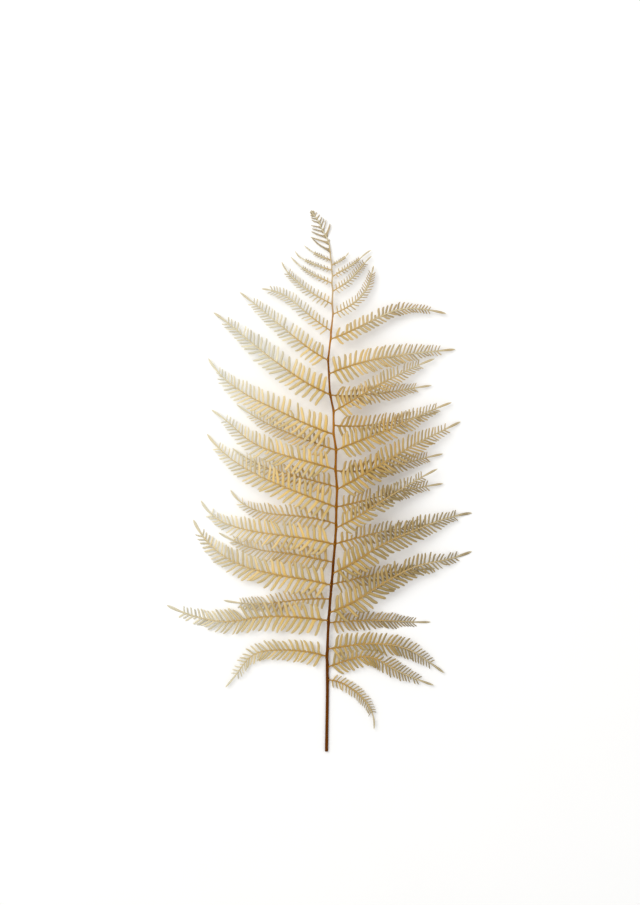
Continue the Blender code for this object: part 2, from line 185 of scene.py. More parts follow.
# The plain, spindle-shaped end of a pinna, and the leaf that runs down its rib
TAIL_LENGTH = 14.0
TAIL_SHARE_MOST = 0.42  # on a short pinna
SHORTER_TAILS = {
    "pinna_left_10": 8.0, "pinna_left_11": 11.0, "pinna_left_12": 13.4, "pinna_left_13": 12.0,
    "pinna_right_12": 7.0, "pinna_right_13": 8.5, "pinna_right_14": 12.9, "pinna_right_15": 5.0,
}
TAIL_WIDTH = 2.05
TAIL_FLATNESS = 0.25
TAIL_PROFILE = ((0.0, 0.56), (0.2, 0.74), (0.45, 0.95), (0.66, 1.0), (0.86, 0.72), (0.96, 0.42), (1.0, 0.22))
TAIL_STEPS = 44
TAIL_SIDES = 8
TAIL_TONE = 0.6
WING_START_SHARE = 0.42  # where the leaf starts to run down along a long rib, as a share of the leafy part
WING_ROOT = 0.2  # its width there beside its width where the tail starts
WEB_HALF_WIDTH = 0.95  # how far the web between the feet of a short pinna's leaflets reaches from its rib
WEB_LENGTHS = (50.0, 118.0)  # on pinnae between these lengths it shrinks from all to none
WEB_ROOT = 0.7  # its width by the stalk beside its width where the tail starts
WEB_END = 0.13  # how far into the tail it ends


class Pinna(NamedTuple):
    name: str
    side: int
    row: int
    root: float
    length: float
    bearings: tuple


class Lobe(NamedTuple):
    side: int
    root: float
    width: float
    length: float
    bearing: float
    way: int


# Where each pinna leaves the stalk, its length, and its bearings from its root to its tip
PINNA_ROWS = (
    ("pinna_left", LEFT, FRONT, (
        (80.0, 97.0, (18, 4, -4, -56, -48)),
        (110.0, 136.0, (8, 3, -12, 12, 27)),
        (140.0, 132.0, (14, 8, 15, 38, 67)),
        (174.0, 120.0, (14, 7, 7, 20, 62)),
        (205.0, 124.0, (21, 21, 24, 35, 55)),
        (236.0, 115.0, (17, 14, 20, 44, 33)),
        (265.0, 123.0, (18, 26, 25, 36, 60)),
        (298.0, 118.0, (23, 34, 38, 41, 35)),
        (326.5, 92.0, (28, 39, 40, 40, 38)),
        (351.0, 68.0, (33, 38, 44, 25, 4)),
        (373.5, 55.0, (25, 31, 38, 46, 68)),
        (391.0, 40.0, (24, 25, 30, 40, 50)),
        (402.0, 34.0, (12, 20, 24, 28, 66)),
        (410.3, 24.6, (19, 22, 27, 36, 44)),
    )),
    ("pinna_right", RIGHT, FRONT, (
        (60.0, 61.0, (-6, -30, -44, -66, -98)),
        (71.0, 94.0, (22, 16, -34, -23, -19)),
        (86.0, 103.0, (11, 6, -7, -34, -37)),
        (117.0, 129.0, (20, 34, 29, 8, 22)),
        (150.0, 126.0, (26, 34, 22, 20, 7)),
        (188.0, 96.0, (26, 32, 32, 30, 26)),
        (220.0, 116.0, (28, 31, 30, 26, 26)),
        (252.0, 103.0, (24, 19, 25, 24, 20)),
        (284.0, 94.0, (30, 32, 28, 26, 20)),
        (315.0, 107.0, (24, 15, 9, 6, 6)),
        (344.0, 101.0, (19, 28, 24, -4, -15)),
        (365.0, 55.0, (22, 31, 50, 72, 78)),
        (384.5, 43.0, (29, 35, 50, 50, 42)),
        (397.0, 38.0, (32, 29, 36, 42, 30)),
        (406.3, 17.0, (27, 30, 32, 46, 62)),
    )),
    ("pinna_under_left", LEFT, UNDER, (
        (128.0, 88.0, (2, -6, -8, 2, 12)),
        (159.0, 98.0, (12, 11, 4, 20, 30)),
        (191.0, 94.0, (18, 7, 3, 22, 60)),
        (221.5, 92.0, (16, 14, 14, 26, 38)),
        (252.0, 90.0, (18, 20, 22, 30, 36)),
    )),
    ("pinna_under_right", RIGHT, UNDER, (
        (108.0, 84.0, (6, 2, -2, -4, 2)),
        (140.5, 86.0, (14, 12, 8, 4, 4)),
        (174.5, 88.0, (16, 14, 10, 8, 4)),
        (205.0, 90.0, (12, 14, 14, 10, 8)),
        (234.5, 90.0, (-4, 6, 12, 14, 12)),
        (272.0, 88.0, (-6, 4, 10, 12, 14)),
        (297.0, 84.0, (-5, 4, 8, 10, 8)),
    )),
)
PINNAE = tuple(
    Pinna(f"{label}_{number:02d}", side, row, *measures)
    for label, side, row, listed in PINNA_ROWS
    for number, measures in enumerate(listed, 1)
)

LOBES = (
    Lobe(LEFT, 418.5, 1.5, 16.8, 11.0, 3),
    Lobe(LEFT, 424.4, 1.4, 16.0, 16.0, 0),
    Lobe(LEFT, 430.0, 1.4, 12.8, 4.0, 2),
    Lobe(LEFT, 434.0, 1.2, 10.0, 13.0, 0),
    Lobe(LEFT, 437.6, 1.1, 8.6, 8.0, 0),
    Lobe(LEFT, 441.4, 1.1, 7.0, 15.0, 0),
    Lobe(LEFT, 444.6, 1.0, 5.4, 8.0, 0),
    Lobe(LEFT, 447.4, 1.1, 2.9, -14.0, 0),
    Lobe(LEFT, 448.3, 1.3, 2.6, -38.0, 1),
    Lobe(LEFT, 449.0, 1.4, 2.5, -2.0, 1),
    Lobe(LEFT, 449.8, 1.4, 2.2, 34.0, 1),
    Lobe(RIGHT, 426.0, 1.2, 1.9, 36.0, 0),
    Lobe(RIGHT, 430.4, 1.6, 10.6, 62.0, 1),
    Lobe(RIGHT, 434.6, 0.9, 9.8, 69.0, 1),
    Lobe(RIGHT, 438.6, 1.0, 7.0, 59.0, 1),
    Lobe(RIGHT, 442.0, 1.0, 4.9, 62.0, 0),
    Lobe(RIGHT, 445.0, 1.0, 4.2, 50.0, 0),
    Lobe(RIGHT, 447.6, 1.0, 3.4, 52.0, 0),
    Lobe(RIGHT, 448.7, 1.3, 2.8, 60.0, 1),
    Lobe(RIGHT, 449.4, 1.4, 2.2, 82.0, 0),
    Lobe(RIGHT, 450.1, 1.4, 1.3, 108.0, 1),
)
LOBE_ROLL = 0.25
LOBE_REACH = 0.85  # the lobes take the colour of a pinna's leaf this far out
TIP_RIB_RADII = (0.00055, 0.00036)  # metres

# One leaflet, as shares of its length along it and of its width across it
LEAFLET_OUTLINE = (
    (0.0, 1.05), (0.05, 0.76), (0.11, 0.56), (0.22, 0.48), (0.42, 0.5), (0.62, 0.5), (0.8, 0.47), (0.92, 0.4),
    (0.98, 0.25),
)
LOBE_OUTLINE = (
    (0.0, 1.25), (0.06, 1.0), (0.13, 0.72), (0.24, 0.56), (0.42, 0.48), (0.62, 0.45), (0.8, 0.4), (0.92, 0.3),
    (0.985, 0.16),
)
LEAFLET_ACROSS = (-1.0, -0.5, 0.0, 0.5, 1.0)
LEAFLET_SLIMNESS = 6.5  # a usual leaflet's length beside its width
LEAFLET_BEND_POWER = 1.8
LEAFLET_ARCH = 0.2  # how far its rims roll down
LEAFLET_GROOVE = 0.07
LEAFLET_BODY = 0.15  # its thickness along the middle
LEAFLET_BODY_PER_WIDTH = 0.1
LEAFLET_SINK = 0.46  # how far its foot dips, so that the rib stands over it
LEAFLET_SINK_REACH = 0.15


class LeafletWay(NamedTuple):
    """One way a leaflet dries: bend and wave in its plane, twist in degrees, and curl out of it."""

    bend: float
    wave: float
    twist: float
    curl: float


LEAFLET_WAYS = (
    LeafletWay(-0.02, -0.018, -14.0, -0.03),
    LeafletWay(0.04, 0.016, -8.0, 0.02),
    LeafletWay(0.08, 0.006, 3.0, -0.02),
    LeafletWay(0.11, 0.024, 18.0, 0.03),
    LeafletWay(0.15, -0.014, 10.0, -0.04),
    LeafletWay(0.22, 0.008, 8.0, -0.07),
)
LOBE_WAYS = (
    LeafletWay(0.05, 0.006, 3.0, -0.02),
    LeafletWay(0.16, 0.012, -8.0, -0.03),
    LeafletWay(0.36, -0.008, 10.0, 0.03),
    LeafletWay(0.78, 0.01, 6.0, -0.04),
)

# Leaf colours: where they change, in metres up the model and to its right, and by how much
PATCH_SCALE = 26.0
FIBRE_SCALE = 1400.0
PALE_HEIGHTS = (0.04, 0.19)
PALE_BY_HEIGHT = 0.75
PALE_REACH = (0.24, 1.02)
# Painted shade: the outer leaf turns tan and darker towards the top and on the right, with random patches of
# tone
TAN_SHADE_HEIGHTS = (0.10, 0.19)
TAN_SHADE_BY_HEIGHT = 0.75
TAN_SHADE_SIDES = (-0.02, 0.10)
TAN_SHADE_BY_SIDE = 0.55
TAN_BY_PATCH = 0.2
MOST_TAN_SHADE = 0.95
RIM_POWER = 2.2
RIM_SHARE = 0.62
TIP_SHARE = 0.35
EDGE_MOST = 0.85
EDGE_LOST_TO_TAN_SHADE = 0.7
LEAFLET_TONES = (0.22, 0.86)  # how much one leaflet's draw adds, and to what
FIBRE_TONES = (0.16, 0.92)
RIGHT_SHADE_TINT = (0.97, 0.88, 0.69)  # painted shade that tints the leaf on the right
RIGHT_SHADE_SIDES = (-0.01, 0.06)
RIGHT_SHADE_HEIGHTS = (-0.03, 0.085)
RIGHT_SHADE_TONES = (0.7, 0.94)  # painted shade: darkens it there, most low down and less high up
# Painted shade: darkens the leaf low down on the frond
LOW_SHADE_HEIGHTS = (-0.16, -0.04)
LOW_SHADE_TONE = 0.94
VEIN_PAIRS = 11.0
VEIN_SLANT = 0.09  # how far along the leaflet a vein runs on its way to the rim
VEIN_POWER = 6.0
VEIN_TONE = 1.07
GLOW_TINT = (1.0, 0.97, 0.87)
GLOW_SHARE = 0.46
FINE_RELIEF = 0.00015  # metres
FIBRE_RELIEF = 0.5  # how much the fibres and veins stand out in the relief
VEIN_RELIEF = 0.8
FRONT_RIM = (0.90, 0.87, 0.74)
# Painted shade: UNDER_RIM is a darker rim for the row lying underneath
UNDER_RIM = (0.84, 0.77, 0.58)
TIP_RIM = (0.80, 0.74, 0.58)

# Rib and stalk colours: scales of their patterns, and where and by how much they change
RIB_PATCH_SCALE = 40.0
RIB_PATCHES = 0.16
RIB_PALE_HEIGHTS = (0.07, 0.19)
RIB_PALE_BY_HEIGHT = 0.6
RIB_GOLDEN_REACH = (0.08, 0.55)
RIB_CREAM_REACH = (0.55, 1.05)
RIB_STREAK_SCALE = 900.0
RIB_STREAK_TONES = (0.3, 0.85)
STALK_DRIFT_SCALE = 34.0
STALK_DRIFT = 0.02  # metres
STALK_STREAK_SCALE = 1500.0
STALK_STREAK_STRETCH = 0.05  # of the streaks' pattern along the stalk
STALK_STREAK_TONES = (0.8, 0.6)
FRECKLE_SCALE = 700.0
FRECKLE_RANGE = (0.62, 0.72)
FRECKLE_DARKNESS = 0.35
STALK_RELIEF = 0.0002  # metres
PITH_CELL_SCALE = 4500.0
PITH_DARKEST = 0.55
PITH_RELIEF = 0.0001  # metres
STALK_STOPS = (
    (0.0, "dark"), (0.35, "dark"), (0.39, "brown"), (0.5, "amber"), (0.57, "amber"), (0.61, "gold"),
    (0.64, "brown"), (0.72, "brown"), (0.75, "gold"), (0.77, "gold"), (0.81, "half straw"), (0.87, "straw"),
)

# Stage, in metres
FLOOR_HALF = 4.0
FLOOR_MOTTLE_SCALE = 9.0
FLOOR_MOTTLE_TONES = (0.02, 0.99)
CAMERA_PLACE = (0.0005, 0.024, 1.4)
CAMERA_SENSOR = 36.0
FROND_MIDDLE = 0.010  # the height at which the picture has its scale
KEY_PLACE, KEY_SIZE, KEY_TINT = (-1.15, 1.0, 1.9), 1.7, (1.0, 0.985, 0.95)
FILL_PLACE, FILL_SIZE, FILL_TINT = (0.9, -0.6, 1.3), 1.2, (0.98, 0.99, 1.0)


def as_number(name, description, default, **settings):
    return bpy.props.FloatProperty(name=name, description=description, default=default, **settings)


def as_length(name, description, default):
    return as_number(name, description, default, unit="LENGTH", subtype="DISTANCE")


def as_angle(name, description, degrees):
    return as_number(name, description, math.radians(degrees), subtype="ANGLE")


def as_colour(name, description, default):
    settings = {"subtype": "COLOR", "min": 0.0, "max": 1.0}
    return bpy.props.FloatVectorProperty(name=name, description=description, default=default, **settings)


class FrondSizes(bpy.types.PropertyGroup):
    """Sizes that can be changed without leaving the form of the solids."""

    leaflet_width: as_length("Leaflet width", "Width of a full leaflet", 0.00185)
    leaflet_spacing: as_length(
        "Leaflet spacing", "Distance between leaflets on one side of a long rib, halfway along it", 0.0041
    )
    upper_bearing: as_angle(
        "Upper leaflet bearing", "Angle from rib to leaflets on the side of the tip, halfway along", 70.0
    )
    lower_bearing: as_angle(
        "Lower leaflet bearing", "Angle from rib to leaflets on the side of the foot, halfway along", 59.0
    )
    leaflet_fan: as_angle("Leaflet fan", "How much more leaflets stand out at a rib's root", 14.0)
    leaflet_tilt: as_angle("Leaflet tilt", "How far upper leaflets dip and lower ones rise, like tiles", 3.4)
    leaflet_sway: as_angle("Leaflet sway", "How far groups of leaflets lean to either side", 10.5)
    rib_root_width: as_length("Rib width at root", "Width of a rib by the stalk", 0.00125)
    rib_tip_width: as_length("Rib width at tip", "Width of a rib at its end", 0.0005)
    seed: bpy.props.IntProperty(name="Seed", description="Start of every random draw", default=11, min=0)


class FrondColours(bpy.types.PropertyGroup):
    """Colours of the bleached frond."""

    leaf_pale: as_colour("Pale leaf", "Leaflets far from the stalk", (0.89, 0.87, 0.745))
    leaf_golden: as_colour("Golden leaf", "Leaflets near the stalk", (0.88, 0.68, 0.24))
    # Partly painted shade: the tan stands for the shade towards the top and on the right
    leaf_tan: as_colour("Tan leaf", "Outer leaflets at the top and on the right", (0.62, 0.51, 0.32))
    # Painted shade: leaf_under is a darker, shaded copy of the golden leaf for the row lying underneath
    leaf_under: as_colour("Under leaf", "Leaflets of the row below", (0.76, 0.56, 0.20))
    rib_brown: as_colour("Rib at root", "Ribs by the stalk", (0.38, 0.195, 0.03))
    rib_gold: as_colour("Rib halfway", "Ribs halfway along", (0.54, 0.35, 0.12))
    rib_cream: as_colour("Rib at tip", "Ribs at their ends", (0.72, 0.64, 0.42))
    stalk_amber: as_colour("Amber stalk", "Middle of the stalk", (0.262, 0.094, 0.003))
    stalk_dark: as_colour("Dark stalk", "Lower stalk", (0.112, 0.03, 0.0008))
    stalk_gold: as_colour("Golden stalk", "Lighter stretches of the stalk", (0.40, 0.165, 0.02))
    stalk_straw: as_colour("Straw stalk", "Top of the stalk", (0.52, 0.41, 0.25))
    pith: as_colour("Pith", "Middle of the cut end", (0.58, 0.44, 0.27))


class FrondStage(bpy.types.PropertyGroup):
    """Floor, lights and camera."""

    floor_colour: as_colour("Floor", "Colour of the floor", (0.94, 0.94, 0.94))
    key_power: as_number("Key light", "Power of the soft light at the upper left", 39.0, unit="POWER")
    fill_power: as_number("Fill light", "Power of the soft light at the lower right", 3.5, unit="POWER")
    sky_strength: as_number("Sky", "Strength of the even light", 0.60, min=0.0)
    frame_height: as_length("Frame height", "How much of the floor the picture covers upwards", 0.751)


def smooth(share):
    """0 up to 0, 1 from 1 on, and an even S between."""
    share = np.clip(share, 0.0, 1.0)
    return share * share * (3.0 - 2.0 * share)


def stalk_side(height):
    return np.interp(height, *zip(*STALK_LINE))


def stalk_radius(height):
    return np.interp(height, *zip(*STALK_THICKNESS)) / 2.0


def stalk_axis(height):
    along = np.clip((height - REST_RUN) / (FROND_LENGTH - REST_RUN), 0.0, 1.0)
    return stalk_radius(height) * STALK_FLATTENING + ARCH_RISE * np.sin(math.pi * along) ** 2


def blade_height(x, y, row):
    """The height of a row's draped middle surface over the ground, as in the solids."""
    out = np.abs(x - stalk_side(y))
    drape = np.clip(1.0 - (out / DRAPE_REACH) ** 2, 0.0, 1.0) ** 2
    surface = (stalk_axis(y) - RIB_THICKNESS / 2.0) * drape
    far_share = smooth((out - ROW_LIFT_NEAR_REACH) / (ROW_LIFT_FAR_REACH - ROW_LIFT_NEAR_REACH))
    lift = ROW_LIFT_NEAR * smooth(out / ROW_LIFT_NEAR_REACH) + (ROW_LIFT_FAR - ROW_LIFT_NEAR) * far_share
    if row == FRONT:
        starts, ends = FRONT_ROW_LANDS
        lift = lift * (1.0 - smooth((out - starts) / (ends - starts)))
    return RIB_THICKNESS / 2.0 + np.maximum(surface + row * lift, 0.0)


def midrib_of(pinna):
    """Points of a pinna's midrib in plan, at even steps from its root to its tip."""
    share = np.linspace(0.0, 1.0, MIDRIB_STEPS + 1)
    middle = (share[1:] + share[:-1]) / 2.0
    bearing = np.radians(np.interp(middle, np.linspace(0.0, 1.0, len(pinna.bearings)), pinna.bearings))
    step = pinna.length / MIDRIB_STEPS
    start_x = stalk_side(pinna.root) + pinna.side * (stalk_radius(pinna.root) + SEAT_GAP)
    x = start_x + pinna.side * np.concatenate([[0.0], np.cumsum(np.cos(bearing) * step)])
    y = pinna.root + np.concatenate([[0.0], np.cumsum(np.sin(bearing) * step)])
    return np.column_stack([x, y])


def stalk_run(start, points):
    """Points along the stalk's line in plan, from a height to the frond's tip."""
    heights = np.linspace(start, FROND_LENGTH, points)
    return np.column_stack([stalk_side(heights), heights])


def to_model(points):
    """Points in the frond's own millimetres as points of the model, in metres."""
    points = np.asarray(points, float)
    return (points - np.array(ORIGIN)[: points.shape[1]]) * METRES_PER_MM


def to_frond(points):
    return np.asarray(points, float) / METRES_PER_MM + np.array(ORIGIN)


class Value:
    """A socket of a node tree. Arithmetic on it adds the nodes that work it out."""

    def __init__(self, tree, socket):
        self.tree = tree
        self.socket = socket

    def __add__(self, other):
        return self.tree.math("ADD", self, other)

    def __sub__(self, other):
        return self.tree.math("SUBTRACT", self, other)

    def __rsub__(self, other):
        return self.tree.math("SUBTRACT", other, self)

    def __mul__(self, other):
        return self.tree.math("MULTIPLY", self, other)

    def __truediv__(self, other):
        return self.tree.math("DIVIDE", self, other)

    def __pow__(self, other):
        return self.tree.math("POWER", self, other)


class Tree:
    """A node tree being made. A Value given to an input is linked, and anything else is set."""

    def __init__(self, tree):
        self.tree = tree

    def add(self, kind, inputs=None, **settings):
        node = self.tree.nodes.new(kind)
        for name, value in settings.items():
            setattr(node, name, value)
        for key, value in (inputs or {}).items():
            if isinstance(value, Value):
                self.tree.links.new(value.socket, node.inputs[key])
            else:
                node.inputs[key].default_value = value
        return node

    def take(self, kind, inputs=None, output=0, **settings):
        """One output of a new node."""
        return Value(self, self.add(kind, inputs, **settings).outputs[output])

    def math(self, operation, *values):
        return self.take("ShaderNodeMath", dict(enumerate(values)), operation=operation)

    def vector_math(self, operation, *values):
        return self.take("ShaderNodeVectorMath", dict(enumerate(values)), operation=operation)

    def scaled(self, vector, factor):
        return self.take("ShaderNodeVectorMath", {0: vector, "Scale": factor}, operation="SCALE")

    def vector(self, *parts):
        return self.take("ShaderNodeCombineXYZ", dict(enumerate(parts)))

    def parts(self, vector):
        """A vector's x, y and z."""
        return [Value(self, part) for part in self.add("ShaderNodeSeparateXYZ", {0: vector}).outputs]

    def between(self, value, low, high):
        """low where value is 0, high where it is 1."""
        return self.math("SUBTRACT", high, low) * value + low

    def stretch(self, value, low, high, start=0.0, end=1.0, **settings):
        """value from low to high as start to end, and no further."""
        inputs = {0: value, 1: low, 2: high, 3: start, 4: end}
        return self.take("ShaderNodeMapRange", inputs, **settings)


class GeometryTree(Tree):
    """A Geometry Nodes tree with named inputs."""

    def __init__(self, name):
        super().__init__(bpy.data.node_groups.new(name, "GeometryNodeTree"))
        for way in ("INPUT", "OUTPUT"):
            self.tree.interface.new_socket("Geometry", in_out=way, socket_type="NodeSocketGeometry")
        self.start = self.tree.nodes.new("NodeGroupInput")
        self.end = self.tree.nodes.new("NodeGroupOutput")
        given = Value(self, self.start.outputs["Geometry"])
        self.curve = self.take("GeometryNodeMeshToCurve", {"Mesh": given})

    def input(self, name, kind="Float"):
        self.tree.interface.new_socket(name, in_out="INPUT", socket_type="NodeSocket" + kind)
        return Value(self, self.start.outputs[name])

    def random(self, low, high, seed, number):
        """A seeded draw for each element."""
        inputs = {2: low, 3: high, 8: seed + float(number)}
        return self.take("FunctionNodeRandomValue", inputs, 1, data_type="FLOAT")

    def noise(self, place, scale, detail):
        return self.take("ShaderNodeTexNoise", {"Vector": place, "Scale": scale, "Detail": detail}, "Fac")

    def stored(self, name):
        return self.take("GeometryNodeInputNamedAttribute", {"Name": name}, data_type="FLOAT")

    def store(self, geometry, name, value):
        inputs = {"Geometry": geometry, "Name": name, "Value": value}
        return self.take("GeometryNodeStoreNamedAttribute", inputs, data_type="FLOAT", domain="POINT")

    def profile(self, value, listed):
        """A smooth curve through listed points, read at value."""
        made = self.add("ShaderNodeFloatCurve", {"Value": value})
        line = made.mapping.curves[0]
        while len(line.points) < len(listed):
            line.points.new(0.5, 0.5)
        for point, (x, y) in zip(line.points, listed):
            point.location = (x, y)
            point.handle_type = "AUTO_CLAMPED"
        made.mapping.update()
        return Value(self, made.outputs[0])

    def tube(self, curve, radius, sides, flatness=1.0):
        """A closed tube along a curve, as flat as it says."""
        ring = self.take("GeometryNodeCurvePrimitiveCircle", {"Resolution": sides, "Radius": 1.0})
        ring = self.take("GeometryNodeTransform", {"Geometry": ring, "Scale": (1.0, flatness, 1.0)})
        inputs = {"Curve": curve, "Profile Curve": ring, "Scale": radius, "Fill Caps": True}
        return self.take("GeometryNodeCurveToMesh", inputs)

    def rib(self, root_radius, tip_radius, swelling):
        """A round, tapering rib along the curve, a little swollen at its root. It stores reach and on_rib."""
        factor = self.take("GeometryNodeSplineParameter", output="Factor")
        run = self.take("GeometryNodeSplineParameter", output="Length")
        extra = self.stretch(run, 0.0, ROOT_SWELLING_REACH, swelling, 0.0, interpolation_type="SMOOTHSTEP")
        radius = self.between(factor, root_radius, tip_radius) * (extra + 1.0)
        marked = self.store(self.curve, "reach", factor)
        return self.store(self.tube(marked, radius, RIB_SIDES), "on_rib", 1.0)

    def leaves(self, points, shapes, pick, turned, length, width):
        """One of the shapes on each point, picked by its number."""
        inputs = {
            "Points": points,
            "Instance": self.take("GeometryNodeCollectionInfo", {0: shapes, 1: True, 2: True}),
            "Pick Instance": True,
            "Instance Index": pick,
            "Rotation": self.take("FunctionNodeEulerToRotation", {0: self.vector(*turned)}),
            "Scale": self.vector(length, width, width),
        }
        return self.take("GeometryNodeInstanceOnPoints", inputs)

    def finish(self, pieces, leaf_material, rib_material):
        """The pieces as real, smooth geometry, with the leaf's material, or the rib's where on_rib is set."""
        joined = self.add("GeometryNodeJoinGeometry")
        for piece in pieces:
            self.tree.links.new(piece.socket, joined.inputs[0])
        real = self.take("GeometryNodeRealizeInstances", {"Geometry": Value(self, joined.outputs[0])})
        even = self.take("GeometryNodeSetShadeSmooth", {"Geometry": real})
        leafy = self.take("GeometryNodeSetMaterial", {"Geometry": even, "Material": leaf_material})
        inputs = {0: self.stored("on_rib"), 1: 0.5}
        chosen = self.take("FunctionNodeCompare", inputs, operation="GREATER_THAN")
        inputs = {"Geometry": leafy, "Selection": chosen, "Material": rib_material}
        ribbed = self.take("GeometryNodeSetMaterial", inputs)
        self.tree.links.new(ribbed.socket, self.end.inputs["Geometry"])
        return self.tree


def tail_of(tree, last, width, wing_start, wing_root, web):
    """The plain end of a pinna: a flat spindle of leaf along its rib, which runs down it as a wing or web."""
    start = last * wing_start
    inputs = {"Curve": tree.curve, "Start": start, "End": 1.0}
    end = tree.take("GeometryNodeTrimCurve", inputs, mode="FACTOR")
    end = tree.take("GeometryNodeResampleCurve", {"Curve": end, "Count": TAIL_STEPS})
    end = tree.take("GeometryNodeSetCurveNormal", {"Curve": end}, mode="Z_UP")
    along = tree.between(tree.take("GeometryNodeSplineParameter", output="Factor"), start, 1.0)
    past = (along - last) / (1.0 - last)
    in_tail = tree.math("MAXIMUM", past, 0.0)
    wing = tree.profile(in_tail, TAIL_PROFILE) * tree.stretch(along, start, last, wing_root, 1.0)
    webbed = tree.stretch(along, start, last, WEB_ROOT, 1.0) * web
    webbed = webbed * tree.stretch(past, 0.0, WEB_END, 1.0, 0.0)
    radius = tree.math("MAXIMUM", wing * (width / 2.0), webbed)
    end = tree.store(tree.store(end, "blade", in_tail), "reach", along)
    return tree.store(tree.tube(end, radius, TAIL_SIDES, TAIL_FLATNESS), "tone", TAIL_TONE)


def make_pinna_tree():
    """Leaflets in pairs along a rib: their spacing, length, lean and roll, and the rib itself."""
    tree = GeometryTree("Pinna")
    leaflets = tree.input("Leaflet shapes", "Collection")
    others = tree.input("Other ribs", "Object")
    pairs = tree.input("Leaflet pairs", "Int")
    longest = tree.input("Longest leaflet")
    width = tree.input("Leaflet width")
    broader = tree.input("Broader by the stalk")
    evenness = tree.input("Evenness")
    first = tree.input("First leaflet")
    last = tree.input("Last leaflet")
    side = tree.input("Side")
    upper = tree.input("Upper bearing")
    lower = tree.input("Lower bearing")
    fan = tree.input("Fan")
    tilt = tree.input("Tilt")
    sway = tree.input("Sway")
    radii = tree.input("Rib radius at root"), tree.input("Rib radius at tip")
    tail_sizes = [tree.input(name) for name in ("Tail width", "Wing start", "Wing root", "Web half width")]
    seed = tree.input("Seed", "Int")
    materials = tree.input("Leaf material", "Material"), tree.input("Rib material", "Material")

    index = tree.take("GeometryNodeInputIndex")
    pair = tree.math("FLOOR", index / 2.0)
    edge = 1.0 - tree.math("MODULO", index, 2.0) * 2.0
    is_upper = (edge + 1.0) / 2.0

    # Where each leaflet grows
    share = (pair + 0.5 + edge * STAGGER + tree.random(-JITTER, JITTER, seed, 1)) / pairs
    share = (share - share * share * CROWDING) / (1.0 - CROWDING)
    along = tree.between(share, first, last)
    inputs = {"Curves": tree.curve, "Factor": along}
    sample = tree.add("GeometryNodeSampleCurve", inputs, mode="FACTOR", use_all_curves=True)
    place, tangent = (Value(tree, sample.outputs[name]) for name in ("Position", "Tangent"))
    ahead, aside = tree.parts(tangent)[:2]
    rib_angle = tree.math("ARCTAN2", aside, ahead)

    # Which way each leaflet points
    lean = (tree.noise(place, LEAN_SCALE, 1.5) - 0.5) * (sway * 2.0)
    own_lean = tree.random(-OWN_LEAN, OWN_LEAN, seed, 2)
    fanned = (0.5 - along / last) * fan
    bearing = tree.between(is_upper, lower, upper) + (lean + own_lean) + fanned
    spread = tree.stretch(along, 0.0, ROOT_SPREAD_REACH, ROOT_SPREAD, 0.0)
    bearing = bearing + spread * (1.0 - is_upper)
    turn = edge * side
    heading = rib_angle + turn * bearing
    aim = tree.vector(tree.math("COSINE", heading), tree.math("SINE", heading))

    # How long each leaflet is, shorter where another rib is near
    size_share = tree.profile(along * PROFILE_END / last, LEAFLET_PROFILE)
    size_share = tree.between(evenness, size_share, EVEN_LENGTH)
    full = size_share * longest * tree.random(*LENGTH_DRAW, seed, 3)
    full = full * tree.between(is_upper, 1.0, UPPER_LENGTH)
    ribs = tree.take("GeometryNodeObjectInfo", {"Object": others}, "Geometry")
    half_out = tree.vector_math("ADD", place, tree.scaled(aim, full * 0.5))
    near_root, near_half = (
        tree.take("GeometryNodeProximity", {0: ribs, 2: spot}, "Distance", target_element="EDGES")
        for spot in (place, half_out)
    )
    closing = (near_root - near_half) / (full * 0.5)
    room = near_root * ROOM_SHARE / tree.math("MAXIMUM", closing, LEAST_CLOSING)
    stunted = tree.math("LESS_THAN", tree.random(0.0, 1.0, seed, 9), STUNTED_SHARE)
    grown = tree.math("MINIMUM", full, room) * (1.0 - stunted * STUNTED_LOSS)

    # How broad it is, how it lies and which way it has dried
    breadth = tree.stretch(along, 0.0, BROAD_REACH, broader, 0.0) + tree.between(size_share, SLENDEREST, 1.0)
    across = width * breadth * tree.random(*WIDTH_DRAW, seed, 4)
    draw = tree.random(-1.0, 1.0, seed, 5)
    roll = draw * draw * draw * MOST_ROLL
    pitch = edge * tilt + tree.random(*PITCH_DRAW, seed, 6)
    ways = float(len(LEAFLET_WAYS))
    drift = tree.stretch(tree.noise(place, DRIFT_SCALE, 0.0), *DRIFT_RANGE, 0.0, ways)
    way = tree.math("MAXIMUM", drift + tree.random(*DRIFT_DRAW, seed, 7), 0.0)
    way = tree.math("FLOOR", tree.math("MINIMUM", way, ways - 0.001))
    mirrored = tree.math("LESS_THAN", turn, 0.0) * ways
    points = tree.take("GeometryNodePoints", {"Count": pairs * 2.0, "Position": place})
    points = tree.store(points, "reach", along)
    points = tree.store(points, "tone", tree.random(0.0, 1.0, seed, 8))
    leafy = tree.leaves(points, leaflets, way + mirrored, (roll, pitch, heading), grown, across)
    pieces = tree.rib(*radii, ROOT_SWELLING), tail_of(tree, last, *tail_sizes), leafy
    return tree.finish(pieces, *materials)


def make_tip_tree():
    """Lobes on listed points, each with its own heading, length and width, and the rib they grow from."""
    tree = GeometryTree("Frond tip")
    shapes = tree.input("Lobe shapes", "Collection")
    lobes = tree.input("Lobe points", "Object")
    radii = tree.input("Rib radius at root"), tree.input("Rib radius at tip")
    seed = tree.input("Seed", "Int")
    materials = tree.input("Leaf material", "Material"), tree.input("Rib material", "Material")
    listed = tree.take("GeometryNodeObjectInfo", {"Object": lobes}, "Geometry")
    points = tree.take("GeometryNodeMeshToPoints", {"Mesh": listed})
    roll = tree.random(-LOBE_ROLL, LOBE_ROLL, seed, 1)
    pitch = tree.random(*PITCH_DRAW, seed, 2)
    points = tree.store(points, "reach", LOBE_REACH)
    points = tree.store(points, "tone", tree.random(0.0, 1.0, seed, 4))
    turned = roll, pitch, tree.stored("heading")
    sizes = tree.stored("lobe_length"), tree.stored("lobe_width")
    leafy = tree.leaves(points, shapes, tree.stored("lobe_shape"), turned, *sizes)
    return tree.finish((tree.rib(*radii, 0.0), leafy), *materials)


